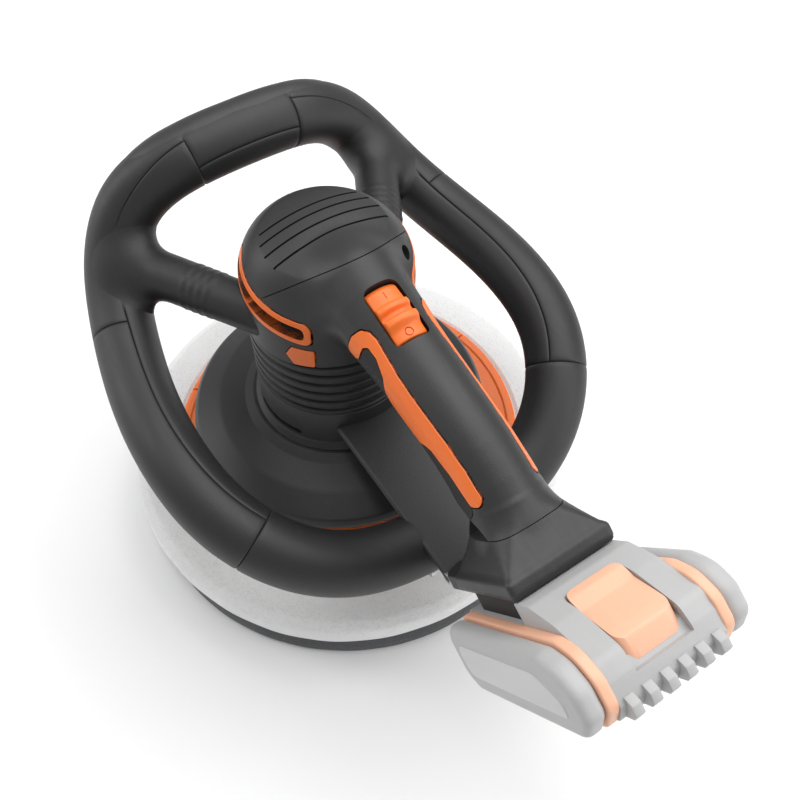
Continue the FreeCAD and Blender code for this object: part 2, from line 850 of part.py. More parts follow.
def loop_path(first, last):
    """The loop's middle line from the middle of one run to the middle of another."""
    count = len(LOOP_ROUTE)
    start = (LOOP_ROUTE[first % count] + LOOP_ROUTE[(first + 1) % count]) * 0.5
    end = (LOOP_ROUTE[last % count] + LOOP_ROUTE[(last + 1) % count]) * 0.5
    return joined(start, [LOOP_CORNERS[index % count] for index in range(first + 1, last + 1)], end)


def loop_bar(radius, first=11, last=11 + len(LOOP_ROUTE)):
    """The loop's round bar along part of its route, or right round from the lower arm."""
    return solid(tube(loop_path(first, last), radius))


def loop_sleeve(first, last):
    """The soft sleeve round the loop's core, along part of its route."""
    return cut(loop_bar(DIMENSIONS["tube_radius"], first, last), loop_bar(DIMENSIONS["core_radius"] + 0.05))


def inside_of_loop():
    """Everything inside the loop's middle line as seen from above."""
    plan = [Vector(point.x, point.y, 60) for point in LOOP_ROUTE]
    corners = rounded_corners(plan, closed=True)
    start = (plan[-1] + plan[0]) * 0.5
    outline = joined(start, [corners[index] for index in range(len(plan))], start)
    return solid(Part.Face(outline).extrude(Vector(0, 0, 190)))


def loop_handle():
    """A round core right round, with soft half sleeves outside and inside it."""
    gap = box((70, -22.05, 60), (130, 22.05, 140))
    core = cut(loop_bar(DIMENSIONS["core_radius"]), loop_bar(DIMENSIONS["core_radius"] - 3), gap)
    keep(core, "loop_core")
    inside = inside_of_loop()
    keep(cut(loop_sleeve(-2, 0), inside), "loop_front_grip")
    keep_sides(cut(loop_sleeve(0, 4), inside), "loop_corner_grip")
    keep_sides(cut(loop_sleeve(4, 8), inside), "loop_side_grip")
    keep_sides(common(loop_sleeve(-1, 8), inside), "loop_inner_shell")
    keep_both(cut(loop_sleeve(8, 11), gap), "loop_links")


def spokes():
    """The two struts between the loop handle and the tower."""
    start = Vector(-76, -76, 161)
    end = Vector(-2, -34, 168)
    way = end - start
    strut = solid(Part.makeCone(14, 11, way.Length, start, way))
    ring_bar = loop_bar(DIMENSIONS["tube_radius"] + 0.05)
    tower = cylinder(dim.neck_radius + 0.05, 80, (0, 0, 140))
    keep_both(cut(strut, ring_bar, tower), "spokes")


# ---------------------------------------------------------------- fasteners

def screw(at, turn=None, length=11):
    shank = cylinder(1.75, length, (0, 0, 0))
    head = cylinder(3.2, 2.6, (0, 0, -2.6))
    cross = box((-0.5, -2, -2.8), (0.5, 2, -1.4))
    thing = cut(fuse(shank, head), cross)
    thing.Placement = Placement(Vector(*at), turn or Rotation())
    return thing


def fasteners():
    screws = [screw((x, 0, grip_level(x) - 14), length=5.5) for x in (66, 92, 118)]
    sideways = Rotation(Vector(1, 0, 0), -90)
    screws += [screw((x, -19, z), sideways) for x, z in FOOT_SCREWS]
    keep(group(*screws), "housing_screws")


def check_and_write():
    doc.recompute()
    faults = [item.Label for item in doc.Objects if {"Invalid", "Error"} & set(item.State)]
    for item in sub_parts:
        if item.Shape.isNull() or not item.Shape.isValid() or item.Shape.Volume <= 0:
            faults.append(f"{item.Label} has no sound shape")
    if faults:
        raise RuntimeError(f"not written: {faults}")
    os.makedirs("parts", exist_ok=True)
    for item in sub_parts:
        item.Shape.exportStep(f"parts/{item.Label}.step")
    print(f"{len(sub_parts)} sub-parts written")


fill_sheet()
pad_face()
foam_pad()
backing_plate()
pad_bearings()
bearing_circlip()
motor_shaft()
armature()
cooling_fan()
counterweight()
crank_hub()
pad_fasteners()
motor()
motor_mounts()
bearing_carrier()
lower_collar()
base_cover()
neck_sleeve()
dome_cap()
rear_handle()
side_trims()
vent_frames_and_badges()
switch()
lower_arm()
battery_foot()
dock()
leads()
pack_shells()
pack_trims()
pack_plates()
release_button()
pack_inside()
loop_handle()
spokes()
fasteners()
check_and_write()
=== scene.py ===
import json
import math
from itertools import product

import bmesh
import bpy
import numpy as np
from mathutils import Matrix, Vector


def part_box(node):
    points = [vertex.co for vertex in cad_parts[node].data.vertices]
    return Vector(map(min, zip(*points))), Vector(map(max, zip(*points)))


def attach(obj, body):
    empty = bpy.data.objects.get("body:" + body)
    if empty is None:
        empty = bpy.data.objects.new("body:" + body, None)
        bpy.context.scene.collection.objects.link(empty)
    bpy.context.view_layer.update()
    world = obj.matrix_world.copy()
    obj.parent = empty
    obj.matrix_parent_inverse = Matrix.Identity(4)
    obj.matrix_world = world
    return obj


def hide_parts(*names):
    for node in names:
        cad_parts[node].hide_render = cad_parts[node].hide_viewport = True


# Cordless orbital polisher. Shapes are drawn in millimetres in the tool's frame:
# Z up along the motor, X back towards the battery. MM turns them into metres.

MM = 0.001
WELD = 0.02
NUDGE = 0.05
NEARLY_STRAIGHT = math.radians(88)

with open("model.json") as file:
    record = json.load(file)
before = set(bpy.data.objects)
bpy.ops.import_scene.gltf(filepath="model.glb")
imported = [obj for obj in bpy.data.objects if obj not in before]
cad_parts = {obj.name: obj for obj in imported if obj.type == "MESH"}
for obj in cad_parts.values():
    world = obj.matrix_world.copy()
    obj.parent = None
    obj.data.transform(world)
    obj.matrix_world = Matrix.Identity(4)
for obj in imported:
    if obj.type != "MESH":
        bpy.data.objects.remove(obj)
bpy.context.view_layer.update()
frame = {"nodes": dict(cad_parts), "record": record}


# ---------------------------------------------------------------- finishes

class Wire:
    """A value or colour on its way through a material, with arithmetic on values."""

    def __init__(self, finish, socket):
        self.finish = finish
        self.socket = socket

    def math(self, operation, *inputs):
        return self.finish.node("ShaderNodeMath", {"operation": operation}, inputs).out()

    def __add__(self, other):
        return self.math("ADD", self, other)

    def __radd__(self, other):
        return self.math("ADD", other, self)

    def __rsub__(self, other):
        return self.math("SUBTRACT", other, self)

    def __mul__(self, other):
        return self.math("MULTIPLY", self, other)

    def above(self, low, high):
        """0 below low and 1 above high, with a smooth rise between them."""
        settings = {"interpolation_type": "SMOOTHSTEP"}
        inputs = {"Value": self, "From Min": low, "From Max": high}
        return self.finish.node("ShaderNodeMapRange", settings, inputs).out()


class Made:
    """A node that has been added to a material."""

    def __init__(self, finish, node):
        self.finish = finish
        self.node = node

    def out(self, name=0):
        return Wire(self.finish, self.node.outputs[name])


class Finish:
    """A material, built up from a Principled shader."""

    def __init__(self, name, **uniform):
        self.material = bpy.data.materials.new(name)
        self.material.use_nodes = True
        self.tree = self.material.node_tree
        self.shader = self.tree.nodes["Principled BSDF"]
        for socket, value in uniform.items():
            self.shader.inputs[socket.replace("_", " ")].default_value = value
        self.place = self.node("ShaderNodeTexCoord").out("Object")

    def node(self, kind, settings=None, inputs=()):
        made = self.tree.nodes.new(kind)
        for name, value in (settings or {}).items():
            setattr(made, name, value)
        pairs = inputs.items() if isinstance(inputs, dict) else enumerate(inputs)
        for name, value in pairs:
            self.feed(made.inputs[name], value)
        return Made(self, made)

    def feed(self, socket, value):
        if isinstance(value, Wire):
            self.tree.links.new(value.socket, socket)
        else:
            socket.default_value = value

    def noise(self, scale, detail=3.0, roughness=0.55, vector=None):
        inputs = {"Vector": vector or self.place, "Scale": scale, "Detail": detail, "Roughness": roughness}
        return self.node("ShaderNodeTexNoise", None, inputs).out("Fac")

    def cells(self, scale):
        inputs = {"Vector": self.place, "Scale": scale}
        return self.node("ShaderNodeTexVoronoi", {"feature": "F1"}, inputs).out("Distance")

    def stretched(self, scale):
        """The place on the piece, scaled by a different amount along each axis."""
        settings = {"operation": "MULTIPLY"}
        return self.node("ShaderNodeVectorMath", settings, [self.place, scale]).out()

    def mixed(self, factor, first, second):
        made = self.node("ShaderNodeMix", {"data_type": "RGBA"}, {0: factor, 6: first, 7: second})
        return made.out(2)

    def bump(self, height, distance, strength=1.0):
        inputs = {"Height": height, "Distance": distance, "Strength": strength}
        self.set(Normal=self.node("ShaderNodeBump", None, inputs).out())

    def set(self, **values):
        for name, value in values.items():
            self.feed(self.shader.inputs[name.replace("_", " ")], value)


def colour(red, green, blue):
    return (red, green, blue, 1.0)


def moulded(name, base, worn, rough, grain=2600.0, marks=0.5):
    """Moulded plastic: spark-eroded grain, faint flow shades, rubbed and dusty patches."""
    finish = Finish(name)
    cloud = finish.noise(14.0, 4.0)
    fine = finish.noise(grain, 2.0)
    streaks = finish.noise(1.0, 3.0, vector=finish.stretched((60.0, 420.0, 90.0)))
    rub = (cloud * 0.7 + streaks * 0.3).above(0.46, 0.72)
    specks = finish.noise(900.0, 1.0).above(0.70, 0.76)
    finish.set(Base_Color=finish.mixed(rub * marks + specks * 0.12, base, worn))
    finish.set(Roughness=rough + rub * -0.06 + fine * 0.08)
    finish.bump(fine + finish.cells(grain * 0.6) * 0.6, 0.00005)
    return finish.material


def foam(name, base, shade, pore=900.0):
    """Open-cell foam: small pores darkened as painted shade, a soft nap and faint grey handling marks."""
    finish = Finish(name, Sheen_Weight=0.25, Sheen_Roughness=0.6)
    pores = finish.cells(pore).above(0.05, 0.45)
    cloud = finish.noise(22.0, 4.0)
    smudge = cloud.above(0.52, 0.78)
    # Pore centres mixed towards the darker colour are painted shade; the smudges are handling marks.
    finish.set(Base_Color=finish.mixed((1 - pores) * 0.35 + smudge * 0.25, base, shade))
    finish.set(Roughness=0.9 + cloud * 0.08)
    finish.bump(pores + finish.noise(2600.0) * 0.5 + cloud * 1.5, 0.00025)
    return finish.material


def metal(name, base, shade, rough, along=(40.0, 40.0, 900.0)):
    """Machined metal with fine turning lines, or a cast skin when it isn't stretched."""
    finish = Finish(name, Metallic=1.0)
    lines = finish.noise(1.0, 4.0, vector=finish.stretched(along))
    patina = finish.noise(35.0, 4.0).above(0.45, 0.75)
    finish.set(Base_Color=finish.mixed(patina * 0.6, base, shade))
    finish.set(Roughness=rough + lines * 0.15 + patina * 0.1)
    finish.bump(lines, 0.00004)
    return finish.material


BLACK = moulded("black_nylon", colour(0.020, 0.020, 0.021), colour(0.032, 0.032, 0.034), 0.42)
SOFT = moulded("soft_black", colour(0.014, 0.014, 0.015), colour(0.024, 0.024, 0.026), 0.46, grain=3400.0)
UNDER = moulded("grip_rubber", colour(0.010, 0.010, 0.010), colour(0.018, 0.018, 0.019), 0.62, grain=3400.0)
# Near-black for insides seen through vents, the switch window and the dock gap: darker than the black nylon as
# painted shade.
PAINTED_SHADE_BLACK = moulded("inner_black_painted_shade", colour(0.005, 0.005, 0.005), colour(0.009, 0.009, 0.009), 0.6)
ORANGE = moulded("orange_nylon", colour(0.86, 0.17, 0.022), colour(0.72, 0.13, 0.018), 0.36, marks=0.35)
PALE = moulded("pale_case", colour(0.44, 0.44, 0.44), colour(0.39, 0.39, 0.39), 0.45, marks=0.35)
PEACH = moulded("peach_trim", colour(0.86, 0.47, 0.31), colour(0.80, 0.42, 0.27), 0.40, marks=0.35)
LABEL = moulded("pale_label", colour(0.56, 0.56, 0.56), colour(0.51, 0.51, 0.51), 0.32, marks=0.3)
FOAM = foam("white_foam", colour(0.80, 0.80, 0.80), colour(0.62, 0.62, 0.62))
BAND = foam("dark_foam", colour(0.045, 0.048, 0.052), colour(0.02, 0.02, 0.022), pore=1300.0)
STEEL = metal("bright_steel", colour(0.55, 0.55, 0.56), colour(0.40, 0.40, 0.41), 0.28)
CAST = (300.0, 300.0, 300.0)
IRON = metal("cast_weight", colour(0.20, 0.20, 0.205), colour(0.14, 0.13, 0.125), 0.55, along=CAST)
COPPER = metal("copper_alloy", colour(0.72, 0.36, 0.18), colour(0.50, 0.25, 0.13), 0.30)
BOARD = moulded("circuit_board", colour(0.02, 0.13, 0.05), colour(0.03, 0.20, 0.08), 0.35)
LEAD = moulded("lead_insulation", colour(0.30, 0.02, 0.02), colour(0.22, 0.02, 0.02), 0.45)

CAD_FINISHES = {
    "steel": STEEL, "cast_weight": IRON, "ferrite": IRON, "copper": COPPER, "board": BOARD,
    "lead_cover": LEAD, "orange_plastic": ORANGE, "grey_plastic": BLACK, "black_rubber": SOFT,
    "black_plastic": PAINTED_SHADE_BLACK, "foam": FOAM, "pad_cloth": BAND, "pale_plastic": PALE, "peach_plastic": PEACH,
}


# ---------------------------------------------------------------- making pieces

def corners(node):
    """A CAD node's lowest and highest corner, in millimetres."""
    low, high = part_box(node)
    return np.array(low) / MM, np.array(high) / MM


def make(name, vertices, faces):
    mesh = bpy.data.meshes.new(name)
    mesh.from_pydata((np.asarray(vertices, float) * MM).tolist(), [], faces)
    mesh.validate()
    thing = bpy.data.objects.new(name, mesh)
    bpy.context.scene.collection.objects.link(thing)
    return thing


def rebuilt(thing, work):
    """Edit a piece's mesh with a function that takes a bmesh."""
    edit = bmesh.new()
    edit.from_mesh(thing.data)
    work(edit)
    edit.to_mesh(thing.data)
    edit.free()
    return thing


def outward(thing):
    def work(edit):
        bmesh.ops.remove_doubles(edit, verts=edit.verts, dist=WELD * MM)
        bmesh.ops.recalc_face_normals(edit, faces=edit.faces)
    return rebuilt(thing, work)


def applied(thing):
    """Freeze a piece's modifiers into its mesh."""
    evaluated = thing.evaluated_get(bpy.context.evaluated_depsgraph_get())
    mesh = bpy.data.meshes.new_from_object(evaluated)
    thing.modifiers.clear()
    thing.data = mesh
    return thing


def boolean(thing, operation, *others):
    for other in others:
        step = thing.modifiers.new("shape", "BOOLEAN")
        step.operation = operation
        step.solver = "EXACT"
        step.object = other
        applied(thing)
        bpy.data.objects.remove(other)
    return thing


def carve(thing, *cutters):
    return boolean(thing, "DIFFERENCE", *cutters)


def bevelled(thing, width, segments=3, angle=35):
    step = thing.modifiers.new("edges", "BEVEL")
    step.width = width * MM
    step.segments = segments
    step.limit_method = "ANGLE"
    step.angle_limit = math.radians(angle)
    return applied(thing)


def joined(first, *others):
    with bpy.context.temp_override(active_object=first, selected_editable_objects=[first, *others]):
        bpy.ops.object.join()
    return first


def done(thing, finish, body, nodes=(), sharp=32):
    """Give a piece its finish and its place in the tool."""
    thing.data.materials.clear()
    thing.data.materials.append(finish)
    thing.data.shade_smooth()
    thing.data.set_sharp_from_angle(angle=math.radians(sharp))
    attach(thing, body)
    if nodes:
        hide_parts(*nodes)
    return thing


def bend(start, middle, end, share):
    """A point of the curve that leaves start towards middle and arrives at end."""
    return start * (1 - share) ** 2 + middle * 2 * share * (1 - share) + end * share ** 2


def soften(outline, radius=1.0, steps=5):
    """Round a closed outline's corners. A point may carry its own radius."""
    rounded = []
    count = len(outline)
    for index, point in enumerate(outline):
        here = np.array(point[:2], float)
        reach = point[2] if len(point) > 2 else radius
        back = np.array(outline[index - 1][:2], float) - here
        ahead = np.array(outline[(index + 1) % count][:2], float) - here
        back_length, ahead_length = np.linalg.norm(back), np.linalg.norm(ahead)
        back, ahead = back / back_length, ahead / ahead_length
        half = math.acos(float(np.clip(back @ ahead, -1, 1))) / 2
        if reach <= 0 or half > NEARLY_STRAIGHT:
            rounded.append(here)
            continue
        length = min(reach / math.tan(half), 0.48 * back_length, 0.48 * ahead_length)
        start, end = here + back * length, here + ahead * length
        rounded += [bend(start, here, end, step / steps) for step in range(steps + 1)]
    return rounded


def lathe(name, outline, centre=(0.0, 0.0), segments=192):
    """A closed outline of (radius, height) points, turned about a vertical line."""
    count = len(outline)
    vertices = []
    faces = []
    for turn in range(segments):
        angle = 2 * math.pi * turn / segments
        x, y = math.cos(angle), math.sin(angle)
        vertices += [(centre[0] + radius * x, centre[1] + radius * y, height) for radius, height in outline]
        here, ahead = turn * count, (turn + 1) % segments * count
        for index in range(count):
            after = (index + 1) % count
            faces.append((here + index, ahead + index, ahead + after, here + after))
    return outward(make(name, vertices, faces))


def prism(name, outline, low, high, place):
    """A closed outline of (u, v) points, from w = low to w = high, put in place by a function."""
    count = len(outline)
    vertices = [place(u, v, w) for w in (low, high) for u, v in outline]
    faces = [tuple(range(count)), tuple(range(2 * count - 1, count - 1, -1))]
    faces += [(i, (i + 1) % count, (i + 1) % count + count, i + count) for i in range(count)]
    return outward(make(name, vertices, faces))


def from_side(u, v, w):
    return (u, w, v)


def from_top(u, v, w):
    return (u, v, w)


def from_rear(u, v, w):
    return (w, u, v)


def grown(outline, distance):
    """A closed outline moved outwards by a distance."""
    points = np.array([point[:2] for point in outline], float)
    ahead = np.roll(points, -1, 0) - points
    area = np.sum(points[:, 0] * np.roll(points[:, 1], -1) - np.roll(points[:, 0], -1) * points[:, 1])
    normal = np.stack([ahead[:, 1], -ahead[:, 0]], 1) * (1 if area > 0 else -1)
    normal /= np.linalg.norm(normal, axis=1)[:, None] + 1e-9
    corner = normal + np.roll(normal, 1, 0)
    corner /= np.maximum(0.35, np.sum(corner * normal, 1))[:, None]
    return points + corner * distance


def fence(name, outline, width, low, high, place):
    """A thin wall that follows just outside a closed outline."""
    inner = np.array([point[:2] for point in outline], float)
    outer = grown(outline, width)
    count = len(inner)
    vertices = [place(u, v, w) for loop in (inner, outer) for w in (low, high) for u, v in loop]
    faces = []
    for index in range(count):
        after = (index + 1) % count
        for first, second in ((0, count), (count, 3 * count), (3 * count, 2 * count), (2 * count, 0)):
            faces.append((first + index, first + after, second + after, second + index))
    return outward(make(name, vertices, faces))


def spline(points, steps=5):
    """A smooth open line from the first point to the last, drawn towards those between."""
    points = np.array(points, float)
    middles = (points[1:] + points[:-1]) / 2
    line = []
    for index in range(1, len(points) - 1):
        start = points[0] if index == 1 else middles[index - 1]
        end = points[-1] if index == len(points) - 2 else middles[index]
        shares = np.linspace(0, 1, steps, endpoint=False)
        line += [bend(start, points[index], end, share) for share in shares]
    line.append(points[-1])
    return np.array(line)


# ---------------------------------------------------------------- fields
# A field is negative inside a shape and grows by a millimetre for each millimetre outside.

def melt(first, second, width):
    """Two fields joined, with a fillet of about this width."""
    share = np.clip(0.5 + 0.5 * (second - first) / width, 0, 1)
    return second * (1 - share) + first * share - width * share * (1 - share)


def tube_field(points, line, radii):
    nearest = np.full(len(points), 1e9)
    for start, end, first, last in zip(line, line[1:], radii, radii[1:]):
        way = end - start
        share = np.clip((points - start) @ way / (way @ way), 0, 1)
        gap = np.linalg.norm(points - start - share[:, None] * way, axis=1)
        nearest = np.minimum(nearest, gap - first - (last - first) * share)
    return nearest


def block_field(points, low, high, rounding):
    middle = (np.array(low) + np.array(high)) / 2
    half = (np.array(high) - np.array(low)) / 2 - rounding
    away = np.abs(points - middle) - half
    return np.linalg.norm(np.maximum(away, 0), axis=1) + np.minimum(away.max(1), 0) - rounding


def skin(name, field, low, high, step):
    """The surface where a field is zero."""
    axes = [np.arange(low[k], high[k] + step, step) for k in range(3)]
    grid = np.stack(np.meshgrid(*axes, indexing="ij"), -1)
    value = field(grid.reshape(-1, 3)).reshape(grid.shape[:3])
    size = [count - 1 for count in value.shape]

    def corner(i, j, k, array):
        return array[i:i + size[0], j:j + size[1], k:k + size[2]]

    weight = np.zeros(size)
    place = np.zeros((*size, 3))
    for axis in range(3):
        for i, j in product((0, 1), repeat=2):
            start = [0, 0, 0]
            start[(axis + 1) % 3], start[(axis + 2) % 3] = i, j
            end = list(start)
            end[axis] = 1
            a, b = corner(*start, value), corner(*end, value)
            crossed = (a < 0) != (b < 0)
            share = np.where(crossed, a / np.where(a == b, 1, a - b), 0)
            spot = corner(*start, grid) + share[..., None] * (corner(*end, grid) - corner(*start, grid))
            place += np.where(crossed[..., None], spot, 0)
            weight += crossed
    used = weight > 0
    number = np.full(size, -1)
    number[used] = np.arange(used.sum())
    points = place[used] / weight[used][:, None]
    for _ in range(4):
        nudges = np.eye(3) * NUDGE
        slope = np.stack([field(points + nudge) - field(points - nudge) for nudge in nudges], 1) / (2 * NUDGE)
        move = field(points)[:, None] * slope / np.maximum((slope ** 2).sum(1), 0.2)[:, None]
        points -= np.clip(move, -step / 2, step / 2)
    faces = []
    for axis in range(3):
        side, up = (axis + 1) % 3, (axis + 2) % 3
        ahead = [slice(None)] * 3
        here = [slice(None)] * 3
        ahead[axis], here[axis] = slice(1, None), slice(None, -1)
        first, second = value[tuple(here)] < 0, value[tuple(ahead)] < 0
        spots = np.argwhere(first != second)
        for sweep in (side, up):
            spots = spots[(spots[:, sweep] > 0) & (spots[:, sweep] < size[sweep])]
        ring = []
        for back_side, back_up in ((1, 1), (0, 1), (0, 0), (1, 0)):
            cell = spots.copy()
            cell[:, side] -= back_side
            cell[:, up] -= back_up
            ring.append(number[tuple(cell.T)])
        faces += np.stack(ring, 1).tolist()
    return outward(make(name, points, faces))


def halved(thing, point, normal):
    """Keep what lies behind a plane, and close the cut."""
    def work(edit):
        geometry = edit.verts[:] + edit.edges[:] + edit.faces[:]
        spot, way = Vector(point) * MM, Vector(normal)
        bmesh.ops.bisect_plane(edit, geom=geometry, dist=1e-7, plane_co=spot, plane_no=way, clear_outer=True)
        open_edges = [edge for edge in edit.edges if edge.is_boundary]
        bmesh.ops.holes_fill(edit, edges=open_edges)
        bmesh.ops.recalc_face_normals(edit, faces=edit.faces)
    return rebuilt(thing, work)


def copied(thing, name, grow=0.0):
    """A copy of a piece, moved out along its own normals."""
    twin = bpy.data.objects.new(name, thing.data.copy())
    bpy.context.scene.collection.objects.link(twin)
    normals = np.zeros(len(twin.data.vertices) * 3)
    twin.data.vertices.foreach_get("normal", normals)
    spots = np.zeros(len(twin.data.vertices) * 3)
    twin.data.vertices.foreach_get("co", spots)
    twin.data.vertices.foreach_set("co", spots + normals * grow * MM)
    twin.data.update()
    return twin


# ---------------------------------------------------------------- pad

pad_low, pad_high = corners("foam_pad")
face_low, face_high = corners("pad_face")
plate_low, plate_high = corners("backing_plate")
PAD_CENTRE = ((pad_low[0] + pad_high[0]) / 2, (pad_low[1] + pad_high[1]) / 2)
PAD_RADIUS = (pad_high[0] - pad_low[0]) / 2
FACE_RADIUS = (face_high[0] - face_low[0]) / 2
PLATE_RADIUS = (plate_high[0] - plate_low[0]) / 2
PLATE_TOP = pad_high[2] + 3


def make_pad():
    low, top = pad_low[2], pad_high[2]
    outline = [
        (0, low), (PAD_RADIUS - 8, low, 2), (PAD_RADIUS - 4.6, low + 5, 4), (PAD_RADIUS - 1.2, low + 12, 6),
        (PAD_RADIUS, low + 20, 6), (PAD_RADIUS - 0.8, top - 3.5, 4), (PAD_RADIUS - 6, top, 5),
        (PLATE_RADIUS + 3, top, 1.5), (PLATE_RADIUS + 1, top - 1.4, 1), (17, top - 1.4, 0.5),
        (17, top - 8, 0.5), (0, top - 8),
    ]
    pad = lathe("foam_pad_body", soften(outline, 1, 6), PAD_CENTRE, 224)
    ripple(pad, 0.35, 26.0)
    done(pad, FOAM, "pad", ["foam_pad"])
    low, top = face_low[2], face_high[2]
    outline = [
        (0, low), (FACE_RADIUS - 2, low, 1.5), (FACE_RADIUS, low + 2, 1.5), (FACE_RADIUS - 0.8, low + 6, 2),
        (FACE_RADIUS - 2.6, top - 0.2, 0.8), (0, top - 0.2),
    ]
    face = lathe("pad_face_band", soften(outline, 1, 5), PAD_CENTRE, 256)
    ripple(face, 0.2, 30.0)
    done(face, BAND, "pad", ["pad_face"])


def ripple(thing, depth, scale):
    """Gentle unevenness of a soft side, fading out on the flat underside."""
    for vertex in thing.data.vertices:
        x, y = vertex.co.x / MM - PAD_CENTRE[0], vertex.co.y / MM - PAD_CENTRE[1]
        across = math.hypot(x, y)
        angle = math.atan2(vertex.co.y, vertex.co.x)
        wave = math.sin(7 * angle + vertex.co.z / MM / 9) + 0.6 * math.sin(scale * angle + 1.3)
        if across > PAD_RADIUS - 16:
            factor = 1 - depth * (0.7 + 0.5 * wave) / across
            vertex.co.x = (PAD_CENTRE[0] + x * factor) * MM
            vertex.co.y = (PAD_CENTRE[1] + y * factor) * MM


def bearing(degrees):
    """Two level directions: outwards at an angle about Z, and square to that."""
    angle = math.radians(degrees)
    return np.array([math.cos(angle), math.sin(angle)]), np.array([-math.sin(angle), math.cos(angle)])


def make_plate():
    """The backing plate, with notches round its edge and ribs on its top."""
    base = pad_high[2] - 1.2
    outline = [
        (9.6, base), (PLATE_RADIUS - 0.5, base, 0.8), (PLATE_RADIUS, PLATE_TOP - 1.2, 1.4),
        (PLATE_RADIUS - 2.5, PLATE_TOP, 1), (PLATE_RADIUS - 5, PLATE_TOP, 0.6),
        (PLATE_RADIUS - 6, PLATE_TOP - 0.8, 0.6), (66, PLATE_TOP - 0.8, 1), (62, PLATE_TOP + 0.8, 1),
        (34, PLATE_TOP + 1.5, 2), (24, PLATE_TOP + 5, 3), (24, plate_high[2], 1),
        (14.2, plate_high[2], 0.5), (14.2, PLATE_TOP, 0.3), (9.6, PLATE_TOP, 0.3),
    ]
    plate = lathe("backing_plate_body", soften(outline, 0.8, 4), PAD_CENTRE, 192)
    middle = np.array(PAD_CENTRE)
    slots = []
    for index in range(6):
        along, across = bearing(60 * index - 19)
        start, end, half = PLATE_RADIUS - 13, PLATE_RADIUS + 2, 0.7
        shape = [(start, -half), (end, -half), (end, half), (start, half)]
        shape = [tuple(middle + along * u + across * v) for u, v in shape]
        slots.append(prism("slot", shape, PLATE_TOP - 1.6, PLATE_TOP + 4, from_top))
    carve(plate, joined(*slots))
    ribs = []
    for index in range(12):
        along, across = bearing(30 * index + 15)

        def place(u, v, w, along=along, across=across):
            spot = middle + along * u + across * w
            return (spot[0], spot[1], v)

        shape = [(23, -1), (68, -1), (66, 2), (30, 5), (23, 8)]
        shape = [(u, PLATE_TOP + v) for u, v in shape]
        ribs.append(bevelled(prism("rib", shape, -1.2, 1.2, place), 0.4, 2))
    done(joined(plate, *ribs), ORANGE, "pad", ["backing_plate"])


# ---------------------------------------------------------------- tower

cover_low, cover_high = corners("base_cover")
collar_low, collar_high = corners("lower_collar")
neck_low, neck_high = corners("neck_sleeve")
dome_low, dome_high = corners("dome_cap")
COVER_RADIUS = (cover_high[0] - cover_low[0]) / 2
TOWER_RADIUS = -dome_low[0]
DOME_TOP = dome_high[2]
DOME_ROUND = 30.0
CROWN_RADIUS = 75.0
COLLAR_TOP = collar_high[2]
TOWER_WALL = TOWER_RADIUS - 3


def make_cover():
    """The skirt over the backing plate, and the collar that stands on it."""
    edge, top = cover_low[2] + 7, cover_high[2]
    outline = [
        (COVER_RADIUS - 3, edge - 3.5, 0.5), (COVER_RADIUS - 0.8, edge - 3.5, 1), (COVER_RADIUS, edge - 1, 2.0),
        (COVER_RADIUS - 2.4, edge + 2.2, 4), (66, edge + 8.4, 20), (TOWER_RADIUS + 10, top - 1.6, 6),
        (TOWER_RADIUS + 5, top + 1, 1.5), (TOWER_WALL, top + 1, 0.2), (TOWER_WALL, top - 3, 0.2),
        (62, edge + 5.6, 4), (COVER_RADIUS - 3, edge - 2.0, 0.6),
    ]
    cover = lathe("skirt", soften(outline, 1, 8), segments=224)
    done(cover, BLACK, "housing", ["base_cover"])
    base, flange = collar_low[2], TOWER_RADIUS + 3.4
    outline = [
        (TOWER_WALL, base, 0), (flange, base, 0.6), (flange, base + 2, 1),
        (TOWER_RADIUS + 0.6, base + 4.4, 2.4), (TOWER_RADIUS + 0.3, COLLAR_TOP + 0.6, 0.6),
        (TOWER_WALL, COLLAR_TOP + 0.6, 0),
    ]
    collar = lathe("tower_collar", soften(outline, 1, 5))
    slots = [wall_slot(side * 79, 31, collar_low[2] + 7, 3.6) for side in (1, -1)]
    carve(collar, joined(*slots))
    done(collar, BLACK, "housing", ["lower_collar"])


def wall_slot(angle, width, height, thickness):
    """A round-ended slot in the tower's wall, at an angle about the tower."""
    out, across = bearing(angle)
    half = width / 2
    shape = soften([(-half, 0), (half, 0), (half, thickness), (-half, thickness)], thickness * 0.45, 6)

    def place(u, v, w):
        spot = out * w + across * u
        return (spot[0], spot[1], height + v)

    return prism("slot", [tuple(point) for point in shape], 24, TOWER_RADIUS + 6, place)


def make_neck():
    """The soft sleeve with rounded rings."""
    pitch = 7.0
    low, high = neck_low[2] - 0.4, neck_high[2] + 3
    outline = [(TOWER_WALL, high, 0), (TOWER_WALL, low, 0), (TOWER_RADIUS - 0.2, low, 0.5)]
    for ring in range(6):
        groove = neck_low[2] + 4 + pitch * ring
        outline += [
            (TOWER_RADIUS + 0.1, groove - 1.1, 0.9), (TOWER_RADIUS - 1.9, groove - 0.5, 0.5),
            (TOWER_RADIUS - 1.9, groove + 0.5, 0.5), (TOWER_RADIUS + 0.1, groove + 1.5, 1.6),
        ]
    outline.append((TOWER_RADIUS - 0.6, high, 0.5))
    neck = lathe("ringed_neck", soften(outline, 0.8, 5), segments=224)
    done(neck, SOFT, "housing", ["neck_sleeve"])


